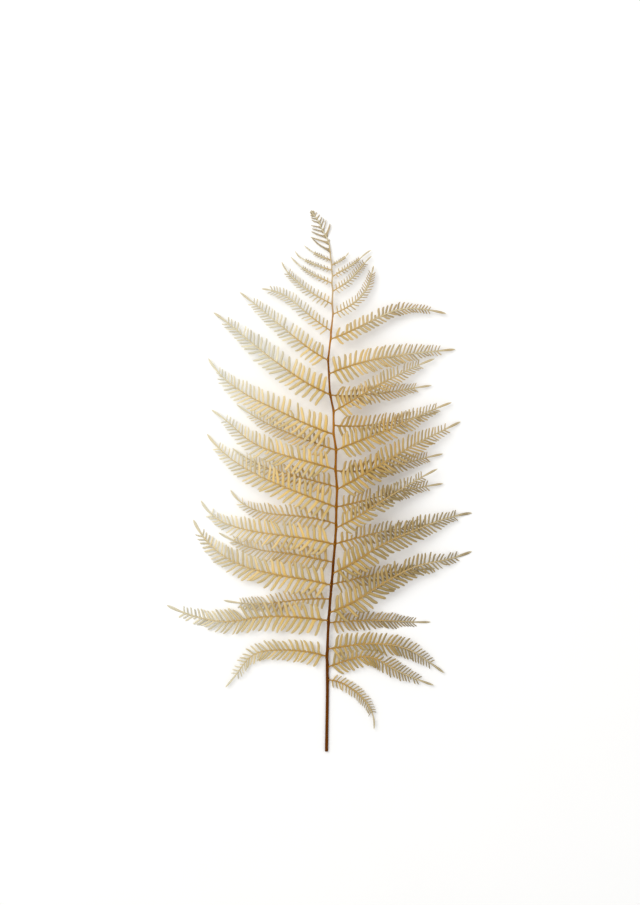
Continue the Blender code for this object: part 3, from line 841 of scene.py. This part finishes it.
class MaterialTree(Tree):
    """A new material and its tree, which starts empty. place is where a point is on its piece."""

    def __init__(self, name):
        self.material = bpy.data.materials.new(name)
        self.material.use_nodes = True
        self.material.node_tree.nodes.clear()
        super().__init__(self.material.node_tree)
        self.place = self.take("ShaderNodeTexCoord", output="Object")

    def mix(self, factor, first, second):
        inputs = {0: factor}
        for key, shade in ((6, first), (7, second)):
            inputs[key] = shade if isinstance(shade, Value) else (*shade, 1.0)
        return self.take("ShaderNodeMix", inputs, 2, data_type="RGBA")

    def attribute(self, name):
        return self.take("ShaderNodeAttribute", output="Fac", attribute_name=name)

    def noise(self, scale, detail=3.0, place=None):
        inputs = {"Vector": place or self.place, "Scale": scale, "Detail": detail, "Roughness": 0.55}
        return self.take("ShaderNodeTexNoise", inputs, "Fac")

    def bump(self, height, strength, depth=FINE_RELIEF):
        return self.take("ShaderNodeBump", {"Strength": strength, "Distance": depth, "Height": height})

    def solid(self, base, roughness, specular=0.5, bump=None):
        inputs = {"Base Color": base, "Roughness": roughness, "Specular IOR Level": specular}
        if bump:
            inputs["Normal"] = bump
        return self.take("ShaderNodeBsdfPrincipled", inputs)

    def finish(self, surface):
        self.add("ShaderNodeOutputMaterial", {0: surface})
        return self.material


def side_veins(tree):
    """1 on the fine veins that slant from a leaflet's middle to its rims, and 0 between them."""
    slanted = tree.attribute("blade") - tree.attribute("rim") * VEIN_SLANT
    wave = tree.math("SINE", slanted * (VEIN_PAIRS * 2.0 * math.pi))
    return tree.between(wave, 0.5, 1.0) ** VEIN_POWER


def leaf_material(name, colours, inner, rim_colour):
    """Thin bleached leaf: golden inwards, paler outwards and along its rolled rims, and lit through. Painted
    shade makes it tan and darker towards the top and on the right, and darker low down.
    """
    tree = MaterialTree(name)
    shift = tree.noise(PATCH_SCALE) - 0.5
    aside, up = tree.parts(tree.place)[:2]
    lift = tree.stretch(up, *PALE_HEIGHTS) * PALE_BY_HEIGHT
    pale = tree.stretch(tree.attribute("reach") + shift + lift, *PALE_REACH)
    # Painted shade: tan towards the top and on the right; the patches added to it are random tone
    tan_and_painted_shade = tree.stretch(up, *TAN_SHADE_HEIGHTS) * TAN_SHADE_BY_HEIGHT + tree.stretch(aside, *TAN_SHADE_SIDES) * TAN_SHADE_BY_SIDE
    tan_and_painted_shade = tree.math("MINIMUM", tan_and_painted_shade + shift * TAN_BY_PATCH, MOST_TAN_SHADE)
    outer = tree.mix(tree.math("MAXIMUM", tan_and_painted_shade, 0.0), colours.leaf_pale, colours.leaf_tan)
    base = tree.mix(pale, inner, outer)
    tip = tree.attribute("blade") ** 2.0 * TIP_SHARE
    edge = tree.math("MINIMUM", tree.attribute("rim") ** RIM_POWER * RIM_SHARE + tip, EDGE_MOST)
    base = tree.mix(edge * (1.0 - tan_and_painted_shade * EDGE_LOST_TO_TAN_SHADE), base, rim_colour)

    fibres = tree.noise(FIBRE_SCALE, 2.0)
    spread, least = LEAFLET_TONES
    tone = tree.attribute("tone") * spread + least
    spread, least = FIBRE_TONES
    tone = tone * (fibres * spread + least)
    # Painted shade: the leaf on the right is darker and more golden, most of all low down
    right = tree.stretch(aside, *RIGHT_SHADE_SIDES)
    shaded = tree.between(tree.stretch(up, *RIGHT_SHADE_HEIGHTS), *RIGHT_SHADE_TONES)
    tone = tone * tree.between(right, 1.0, shaded)
    # Painted shade: darker low down
    tone = tone * tree.between(tree.stretch(up, *LOW_SHADE_HEIGHTS), LOW_SHADE_TONE, 1.0)
    right_shade_tint = tree.mix(right, (1.0, 1.0, 1.0), RIGHT_SHADE_TINT)
    toned = tree.vector_math("MULTIPLY", tree.scaled(base, tone), right_shade_tint)
    veins = side_veins(tree)
    toned = tree.scaled(toned, tree.between(veins, 1.0, VEIN_TONE))

    bump = tree.bump(fibres * FIBRE_RELIEF + veins * VEIN_RELIEF, 0.4)
    solid = tree.solid(toned, 0.6, 0.2, bump)
    glow_colour = tree.vector_math("MULTIPLY", toned, GLOW_TINT)
    glow = tree.take("ShaderNodeBsdfTranslucent", {"Color": glow_colour, "Normal": bump})
    return tree.finish(tree.take("ShaderNodeMixShader", {0: GLOW_SHARE, 1: solid, 2: glow}))


def rib_material(name, colours, darker):
    """A pinna's rib: brown by the stalk, golden halfway, cream at its end, with fine streaks."""
    tree = MaterialTree(name)
    up = tree.parts(tree.place)[1]
    reach = tree.attribute("reach") + tree.noise(RIB_PATCH_SCALE) * RIB_PATCHES
    reach = reach + tree.stretch(up, *RIB_PALE_HEIGHTS) * RIB_PALE_BY_HEIGHT
    inner = tree.mix(tree.stretch(reach, *RIB_GOLDEN_REACH), colours.rib_brown, colours.rib_gold)
    base = tree.mix(tree.stretch(reach, *RIB_CREAM_REACH), inner, colours.rib_cream)
    streaks = tree.noise(RIB_STREAK_SCALE, 2.0)
    spread, least = RIB_STREAK_TONES
    # darker dims the rib's colour; for the row below it is painted shade
    toned = tree.scaled(base, streaks * spread + least * darker)
    return tree.finish(tree.solid(toned, 0.5, 0.2, tree.bump(streaks, 0.3)))


def leafy_materials(name, colours, inner, rim_colour, darker):
    """The materials of a leafy piece by the names of its tree's inputs."""
    leaf = leaf_material(name + " leaf", colours, inner, rim_colour)
    return {"Leaf material": leaf, "Rib material": rib_material(name + " rib", colours, darker)}


def stalk_material(colours):
    """The stalk: near black at its foot and middle, amber between, straw at its top, streaked lengthwise."""
    tree = MaterialTree("Frond stalk")
    shades = {name: tuple(getattr(colours, "stalk_" + name)) for name in ("amber", "dark", "gold", "straw")}
    for mixed, first, second in (("brown", "amber", "dark"), ("half straw", "gold", "straw")):
        shades[mixed] = tuple(0.5 * a + 0.5 * b for a, b in zip(shades[first], shades[second]))
    up = tree.parts(tree.place)[1] + (tree.noise(STALK_DRIFT_SCALE) - 0.5) * STALK_DRIFT
    foot, top = (METRES_PER_MM * (height - ORIGIN[1]) for height in (0.0, FROND_LENGTH))
    ramp = tree.add("ShaderNodeValToRGB", {0: tree.stretch(up, foot, top)})
    stops = ramp.color_ramp.elements
    while len(stops) < len(STALK_STOPS):
        stops.new(0.5)
    for stop, (where, shade) in zip(stops, STALK_STOPS):
        stop.position = where
        stop.color = (*shades[shade], 1.0)
    inputs = {0: tree.place, "Scale": (1.0, STALK_STREAK_STRETCH, 1.0)}
    lengthwise = tree.take("ShaderNodeMapping", inputs)
    streaks = tree.noise(STALK_STREAK_SCALE, 3.0, lengthwise)
    freckles = tree.stretch(tree.noise(FRECKLE_SCALE, 2.0), *FRECKLE_RANGE)
    spread, least = STALK_STREAK_TONES
    toned = tree.scaled(Value(tree, ramp.outputs[0]), streaks * spread + least)
    toned = tree.mix(freckles * FRECKLE_DARKNESS, toned, shades["dark"])
    return tree.finish(tree.solid(toned, 0.5, 0.03, tree.bump(streaks, 0.4, STALK_RELIEF)))


def pith_material(colours):
    """The pale, spongy middle of the cut end."""
    tree = MaterialTree("Pith")
    cells = tree.take("ShaderNodeTexVoronoi", {"Vector": tree.place, "Scale": PITH_CELL_SCALE}, "Distance")
    base = tree.mix(cells, tuple(PITH_DARKEST * c for c in colours.pith), colours.pith)
    return tree.finish(tree.solid(base, 0.85, bump=tree.bump(cells, 0.6, PITH_RELIEF)))


def floor_material(colour_of_floor):
    """A plain pale floor, very slightly mottled."""
    tree = MaterialTree("Pale floor")
    spread, least = FLOOR_MOTTLE_TONES
    base = tree.scaled(tuple(colour_of_floor), tree.noise(FLOOR_MOTTLE_SCALE) * spread + least)
    return tree.finish(tree.solid(base, 0.9))


def add_object(data, name):
    made = bpy.data.objects.new(name, data)
    bpy.context.scene.collection.objects.link(made)
    return made


def line_object(name, lines):
    """An object of edges that follow lines of points in plan."""
    points, edges = [], []
    for line in lines:
        start = len(points)
        points += [(x, y, 0.0) for x, y in to_model(line).tolist()]
        edges += [(start + i, start + i + 1) for i in range(len(line) - 1)]
    mesh = bpy.data.meshes.new(name)
    mesh.from_pydata(points, edges, [])
    return add_object(mesh, name)


def store_values(mesh, values):
    for label, listed in values.items():
        mesh.attributes.new(label, "FLOAT", "POINT").data.foreach_set("value", listed)


def turn_outwards(mesh):
    """Turns every face of a closed mesh round if its volume comes out negative."""
    volume = 0.0
    for polygon in mesh.polygons:
        corners = [mesh.vertices[i].co for i in polygon.vertices]
        for second, third in zip(corners[1:], corners[2:]):
            volume += corners[0].dot(second.cross(third))
    if volume < 0.0:
        mesh.flip_normals()


def leaflet_ring(along, half, way, side):
    """Points round a leaflet, at a share of its length and with half its width there."""
    turn = math.radians(way.twist) * side * along
    middle = side * (way.bend * along**LEAFLET_BEND_POWER + way.wave * math.sin(2.0 * math.pi * along))
    foot = 1.0 - min(along / LEAFLET_SINK_REACH, 1.0)
    lift = way.curl * along**2 * LEAFLET_SLIMNESS - LEAFLET_SINK * foot
    ring = [(share * half, LEAFLET_ARCH * (1.0 - share * share) * 2.0 * half) for share in LEAFLET_ACROSS]
    ring[2] = (0.0, ring[2][1] - LEAFLET_GROOVE)
    ring.append((0.0, ring[2][1] - LEAFLET_BODY - LEAFLET_BODY_PER_WIDTH * half))
    cosine, sine = math.cos(turn), math.sin(turn)
    aside = middle * LEAFLET_SLIMNESS
    points = [(along, y * cosine - z * sine + aside, y * sine + z * cosine + lift) for y, z in ring]
    return points, [min(abs(y) / half, 1.0) for y, z in ring]


def leaflet_mesh(name, way, side, outline):
    """One closed leaflet along +X, 1 long and 1 wide, with rolled rims, a grooved middle and a blunt end."""
    points, blade, rim = [], [], []
    for along, half in outline:
        ring, out = leaflet_ring(along, half, way, side)
        points += ring
        blade += [along] * len(ring)
        rim += out
    count = len(LEAFLET_ACROSS) + 1
    faces = [tuple(reversed(range(count)))]
    for ring in range(len(outline) - 1):
        for i in range(count):
            a, b = ring * count + i, ring * count + (i + 1) % count
            faces.append((a, b, b + count, a + count))
    end = len(points)
    tip_place = np.mean(np.array(points[-count:]), axis=0)
    points.append((1.0, float(tip_place[1]), float(tip_place[2])))
    last = end - count
    faces += [(last + i, last + (i + 1) % count, end) for i in range(count)]
    mesh = bpy.data.meshes.new(name)
    mesh.from_pydata(points, [], faces)
    turn_outwards(mesh)
    store_values(mesh, {"blade": blade + [1.0], "rim": rim + [1.0]})
    return mesh


def leaf_shapes(name, ways, outline):
    """A collection of leaf shapes: each way of drying, then the same ways mirrored."""
    if name in bpy.data.collections:
        return bpy.data.collections[name]
    made = bpy.data.collections.new(name)
    for number, (side, way) in enumerate((side, way) for side in (-1.0, 1.0) for way in ways):
        label = f"{name.lower().replace(' ', '_')}_{number:02d}"
        made.objects.link(bpy.data.objects.new(label, leaflet_mesh(label, way, side, outline)))
    return made


def dressed(source, tree, values, name):
    """The plain mesh that a tree makes from an object, which is then removed."""
    modifier = source.modifiers.new("Shape", "NODES")
    modifier.node_group = tree
    for item in tree.interface.items_tree:
        if item.item_type == "SOCKET" and item.in_out == "INPUT" and item.name in values:
            modifier[item.identifier] = values[item.name]
    seen = source.evaluated_get(bpy.context.evaluated_depsgraph_get())
    mesh = bpy.data.meshes.new_from_object(seen)
    mesh.name = name
    bpy.data.objects.remove(source)
    return mesh


def settle(mesh, row):
    """Lifts a flat mesh onto its row's draped surface, over the floor and clear of the stalk."""
    count = len(mesh.vertices)
    places = np.empty(count * 3)
    mesh.vertices.foreach_get("co", places)
    places = to_frond(places.reshape(-1, 3))
    on_rib = np.zeros(count)
    mesh.attributes["on_rib"].data.foreach_get("value", on_rib)
    x, y, z = places.T
    height = z + blade_height(x, y, row)
    out = np.abs(x - stalk_side(y))
    clear = stalk_radius(y) + STALK_CLEARANCE
    near = 1.0 - smooth((out - clear) / STALK_CLEARANCE_REACH)
    height += np.where(on_rib > 0.5, 0.0, row * near * clear * (y < STALK_TOP))
    height = 0.5 * (height + np.sqrt(height * height + LEAST_HEIGHT * LEAST_HEIGHT))
    top = CAD_BOX[1][2] / METRES_PER_MM + HIGHEST_EXTRA
    over = height - (top - TOP_SOFTNESS)
    eased = top - TOP_SOFTNESS * np.exp(-np.maximum(over, 0.0) / TOP_SOFTNESS)
    places[:, 2] = np.where(over > 0.0, eased, height)
    mesh.vertices.foreach_set("co", to_model(places).ravel())
    mesh.update()


def finish_piece(mesh, name, node):
    piece = add_object(mesh, name)
    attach(piece, "root")
    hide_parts(node)


def size_for(pinna, least):
    """A size for a pinna's length: all of it on a long pinna, and towards the least share on a short one."""
    return min(MOST_SIZE, least + (1.0 - least) * pinna.length / LONG_PINNA)


def by_length(pinna, lengths, values):
    return float(np.interp(pinna.length, lengths, values))


def pinna_values(pinna, number, sizes):
    """The sizes of a pinna by the names of its tree's inputs."""
    longest = min(LONGEST_LEAFLETS[pinna.side], LEAFLET_BASE_LENGTH + LEAFLET_PER_LENGTH * pinna.length)
    longest *= NARROWER_PINNAE.get(pinna.name, 1.0)
    first = min(FIRST_LEAFLET, FIRST_LEAFLET_SHARE * pinna.length)
    tail_share = min(TAIL_SHARE_MOST, SHORTER_TAILS.get(pinna.name, TAIL_LENGTH) / pinna.length)
    leafy_run = pinna.length * (1.0 - tail_share) - first
    spacing = sizes.leaflet_spacing * size_for(pinna, SPACING_LEAST_SHARE) * CLOSENESS[pinna.side]
    return {
        "Leaflet shapes": leaf_shapes("Leaflet shapes", LEAFLET_WAYS, LEAFLET_OUTLINE),
        "Leaflet pairs": max(LEAST_PAIRS, round(leafy_run * METRES_PER_MM / spacing)),
        "Longest leaflet": longest * METRES_PER_MM,
        "Leaflet width": sizes.leaflet_width * size_for(pinna, WIDTH_LEAST_SHARE),
        "Broader by the stalk": BROADEST * by_length(pinna, BROAD_LENGTHS, (0.0, 1.0)),
        "Evenness": by_length(pinna, EVEN_LENGTHS, EVENNESS),
        "First leaflet": first / pinna.length,
        "Last leaflet": 1.0 - tail_share,
        "Side": float(pinna.side),
        "Upper bearing": sizes.upper_bearing,
        "Lower bearing": sizes.lower_bearing,
        "Fan": sizes.leaflet_fan,
        "Tilt": sizes.leaflet_tilt,
        "Sway": sizes.leaflet_sway,
        "Rib radius at root": sizes.rib_root_width * size_for(pinna, RIB_LEAST_SHARE) / 2.0,
        "Rib radius at tip": sizes.rib_tip_width / 2.0,
        "Tail width": TAIL_WIDTH * METRES_PER_MM * size_for(pinna, TAIL_LEAST_SHARE),
        "Wing start": WING_START_SHARE * size_for(pinna, 0.0),
        "Wing root": WING_ROOT,
        "Web half width": WEB_HALF_WIDTH * METRES_PER_MM * by_length(pinna, WEB_LENGTHS, (1.0, 0.0)),
        "Seed": sizes.seed + SEED_STEP * number,
    }


def dress_pinna(pinna, number, sizes, materials):
    """One pinna: its rib and its leaflets, along the same midrib as its solid."""
    line = midrib_of(pinna)
    inward = line[0] - line[1]
    inward /= np.linalg.norm(inward)
    inside = line[0] + inward * (SEAT_GAP + SEAT_DEPTH * stalk_radius(pinna.root))
    others = [midrib_of(o) for o in PINNAE if o.row == pinna.row and o.name != pinna.name]
    ribs = line_object("other_ribs", others + [stalk_run(0.0, 120)])
    source = line_object("midrib", [np.vstack([inside, line])])
    values = {**pinna_values(pinna, number, sizes), "Other ribs": ribs, **materials}
    name = pinna.name + "_leafy"
    mesh = dressed(source, bpy.data.node_groups.get("Pinna") or make_pinna_tree(), values, name)
    bpy.data.objects.remove(ribs)
    settle(mesh, pinna.row)
    finish_piece(mesh, name, pinna.name)


def dress_row(row, sizes, materials):
    for number, pinna in enumerate(PINNAE):
        if pinna.row == row:
            dress_pinna(pinna, number, sizes, materials)


def lobe_points():
    """An object with a point for each lobe, which carries the lobe's heading, length, width and shape."""
    mesh = bpy.data.meshes.new("lobe_points")
    places = to_model([(float(stalk_side(lobe.root)), lobe.root, 0.0) for lobe in LOBES])
    mesh.from_pydata(places.tolist(), [], [])
    headings = [math.radians(o.bearing if o.side == RIGHT else 180.0 - o.bearing) for o in LOBES]
    values = {
        "heading": headings,
        "lobe_length": [o.length * METRES_PER_MM for o in LOBES],
        "lobe_width": [o.width * METRES_PER_MM for o in LOBES],
        "lobe_shape": [float(o.way + (0 if o.side == LEFT else len(LOBE_WAYS))) for o in LOBES],
    }
    store_values(mesh, values)
    return add_object(mesh, "lobe_points")


def fine_stalk_side(height):
    """The stalk's line with its kinks rounded off."""
    offsets = np.linspace(-2.0, 2.0, 9)
    weights = np.exp(-offsets * offsets / 2.0)
    weights /= weights.sum()
    return sum(w * stalk_side(height + o * KINK_SOFTNESS) for w, o in zip(weights, offsets))


def stalk_ring(height, scale):
    """One ring of the stalk: flatter below, grooved above, and swollen where a rib leaves it."""
    angles = 2.0 * math.pi * np.arange(STALK_SIDES) / STALK_SIDES
    radius = np.full(STALK_SIDES, float(stalk_radius(height)) * scale)
    grooved = smooth((height - GROOVE_START) / GROOVE_START) * GROOVE_DEPTH_SHARE
    radius *= 1.0 - grooved * np.exp(-(((angles - math.pi / 2.0) / GROOVE_HALF_ANGLE) ** 2))
    radius *= 1.0 + FLUTE_DEPTH_SHARE * np.cos(FLUTES * angles + height * FLUTE_TWIST)
    for pinna in PINNAE:
        towards = 0.0 if pinna.side == RIGHT else math.pi
        share = math.exp(-(((height - pinna.root) / JOINT_SWELLING_LENGTH) ** 2))
        if share > 0.001:
            row_share = JOINT_UNDER_SHARE if pinna.row == UNDER else 1.0
            strength = JOINT_SWELLING * min(1.0, pinna.length / JOINT_FULL_PINNA) * row_share
            radius += strength * share * np.maximum(np.cos(angles - towards), 0.0) ** 2
    x = float(fine_stalk_side(height)) + radius * np.cos(angles)
    z = stalk_axis(height) + radius * STALK_FLATTENING * np.sin(angles)
    return np.column_stack([x, np.full(STALK_SIDES, height), np.maximum(z, 0.0)])


def stalk_mesh():
    """The whole stalk as one closed skin, with a cut end whose pith is a little sunk."""
    heights = np.linspace(CUT_BEVEL, STALK_TOP, int(STALK_TOP / STALK_RING_STEP))
    rings = [stalk_ring(0.0, CUT_EDGE_SHARE)] + [stalk_ring(h, 1.0) for h in heights]
    middle = np.mean(rings[0], axis=0)
    inner = middle + (rings[0] - middle) * PITH_SHARE
    sunk = middle + (rings[0] - middle) * PITH_SHARE * PITH_FLOOR_SHARE
    sunk[:, 1] += PITH_RECESS
    rings = [sunk, inner] + rings
    points = np.vstack(rings + [[sunk.mean(axis=0)], [rings[-1].mean(axis=0)]])
    cut, top = len(points) - 2, len(points) - 1
    last = (len(rings) - 1) * STALK_SIDES
    faces, kinds = [], []
    for ring in range(len(rings) - 1):
        for i in range(STALK_SIDES):
            a, b = ring * STALK_SIDES + i, ring * STALK_SIDES + (i + 1) % STALK_SIDES
            faces.append((a, a + STALK_SIDES, b + STALK_SIDES, b))
            kinds.append(1 if ring < 1 else 0)
    for i in range(STALK_SIDES):
        after = (i + 1) % STALK_SIDES
        faces += [(cut, i, after), (top, last + after, last + i)]
        kinds += [1, 0]
    mesh = bpy.data.meshes.new("stalk_fine")
    mesh.from_pydata(to_model(points).tolist(), [], faces)
    mesh.polygons.foreach_set("material_index", kinds)
    mesh.polygons.foreach_set("use_smooth", [True] * len(faces))
    turn_outwards(mesh)
    mesh.update()
    return mesh


def add_light(name, place, size, power, tint):
    """A square soft light that looks at the origin."""
    data = bpy.data.lights.new(name, "AREA")
    data.size = size
    data.energy = power
    data.color = tint
    made = add_object(data, name)
    made.location = place
    x, y, z = (-p for p in place)
    made.rotation_euler = (math.atan2(math.hypot(x, y), -z), 0.0, math.atan2(y, x) - math.pi / 2.0)


class FROND_OT_stalk(bpy.types.Operator):
    """Makes the stalk: grooved, kinked at its joints, with a plain cut end"""

    bl_idname = "frond.add_stalk"
    bl_label = "Stalk"

    def execute(self, context):
        colours = context.scene.frond_colours
        mesh = stalk_mesh()
        mesh.materials.append(stalk_material(colours))
        mesh.materials.append(pith_material(colours))
        finish_piece(mesh, "stalk_fine", "stalk")
        return {"FINISHED"}


class FROND_OT_front_pinnae(bpy.types.Operator):
    """Makes the pinnae of the row on top"""

    bl_idname = "frond.add_front_pinnae"
    bl_label = "Front pinnae"

    def execute(self, context):
        colours = context.scene.frond_colours
        materials = leafy_materials("Front", colours, colours.leaf_golden, FRONT_RIM, 1.0)
        dress_row(FRONT, context.scene.frond_sizes, materials)
        return {"FINISHED"}


class FROND_OT_under_pinnae(bpy.types.Operator):
    """Makes the pinnae of the row below"""

    bl_idname = "frond.add_under_pinnae"
    bl_label = "Under pinnae"

    def execute(self, context):
        colours = context.scene.frond_colours
        # Painted shade: the row below takes the darker under leaf and rim and a rib darkened by 0.9
        materials = leafy_materials("Under", colours, colours.leaf_under, UNDER_RIM, 0.9)
        dress_row(UNDER, context.scene.frond_sizes, materials)
        return {"FINISHED"}


class FROND_OT_tip(bpy.types.Operator):
    """Makes the top of the frond: a rib with simple lobes and a small cluster at its end"""

    bl_idname = "frond.add_tip"
    bl_label = "Frond tip"

    def execute(self, context):
        colours = context.scene.frond_colours
        lobes = lobe_points()
        values = {
            "Lobe shapes": leaf_shapes("Lobe shapes", LOBE_WAYS, LOBE_OUTLINE),
            "Lobe points": lobes,
            "Rib radius at root": TIP_RIB_RADII[0],
            "Rib radius at tip": TIP_RIB_RADII[1],
            "Seed": context.scene.frond_sizes.seed,
            **leafy_materials("Tip", colours, colours.leaf_golden, TIP_RIM, 0.84),
        }
        source = line_object("tip_rib", [stalk_run(STALK_TOP - TIP_RIB_OVERLAP, 60)])
        mesh = dressed(source, make_tip_tree(), values, "frond_tip_fine")
        bpy.data.objects.remove(lobes)
        settle(mesh, FRONT)
        finish_piece(mesh, "frond_tip_fine", "frond_tip")
        return {"FINISHED"}


class FROND_OT_stage(bpy.types.Operator):
    """Makes the pale floor, the soft lights and the camera that looks straight down"""

    bl_idname = "frond.add_stage"
    bl_label = "Stage"

    def execute(self, context):
        scene = context.scene
        settings = scene.frond_stage
        scene.view_settings.view_transform = "Standard"
        floor_mesh = bpy.data.meshes.new("floor")
        corners = [(x * FLOOR_HALF, y * FLOOR_HALF, 0.0) for x, y in ((-1, -1), (1, -1), (1, 1), (-1, 1))]
        floor_mesh.from_pydata(corners, [], [(0, 1, 2, 3)])
        floor_mesh.materials.append(floor_material(settings.floor_colour))
        add_object(floor_mesh, "floor")

        world = bpy.data.worlds.new("Even light")
        world.use_nodes = True
        background = world.node_tree.nodes["Background"]
        background.inputs["Color"].default_value = (1.0, 1.0, 1.0, 1.0)
        background.inputs["Strength"].default_value = settings.sky_strength
        scene.world = world
        add_light("Key light", KEY_PLACE, KEY_SIZE, settings.key_power, KEY_TINT)
        add_light("Fill light", FILL_PLACE, FILL_SIZE, settings.fill_power, FILL_TINT)

        camera_data = bpy.data.cameras.new("Camera")
        camera_data.sensor_fit = "VERTICAL"
        camera_data.sensor_height = CAMERA_SENSOR
        camera_data.lens = CAMERA_SENSOR * (CAMERA_PLACE[2] - FROND_MIDDLE) / settings.frame_height
        scene.camera = add_object(camera_data, "Camera")
        scene.camera.location = CAMERA_PLACE
        return {"FINISHED"}


OPERATORS = (FROND_OT_stalk, FROND_OT_front_pinnae, FROND_OT_under_pinnae, FROND_OT_tip, FROND_OT_stage)


class FROND_PT_panel(bpy.types.Panel):
    """Lists the pieces of the frond, with their sizes and colours"""

    bl_idname = "FROND_PT_panel"
    bl_label = "Preserved Fern Frond"
    bl_space_type = "VIEW_3D"
    bl_region_type = "UI"
    bl_category = "Frond"

    def draw(self, context):
        layout = self.layout
        for operator in OPERATORS:
            layout.operator(operator.bl_idname)
        for label in GROUPS:
            group = getattr(context.scene, label)
            box = layout.box()
            for name in group.__annotations__:
                box.prop(group, name)


GROUPS = {"frond_sizes": FrondSizes, "frond_colours": FrondColours, "frond_stage": FrondStage}
CLASSES = (*GROUPS.values(), *OPERATORS, FROND_PT_panel)


def register():
    for made in CLASSES:
        bpy.utils.register_class(made)
    for label, group in GROUPS.items():
        setattr(bpy.types.Scene, label, bpy.props.PointerProperty(type=group))


def unregister():
    for label in GROUPS:
        delattr(bpy.types.Scene, label)
    for made in reversed(CLASSES):
        bpy.utils.unregister_class(made)


def main():
    register()
    bpy.ops.frond.add_stalk()
    bpy.ops.frond.add_front_pinnae()
    bpy.ops.frond.add_under_pinnae()
    bpy.ops.frond.add_tip()
    bpy.ops.frond.add_stage()


if __name__ == "__main__":
    main()
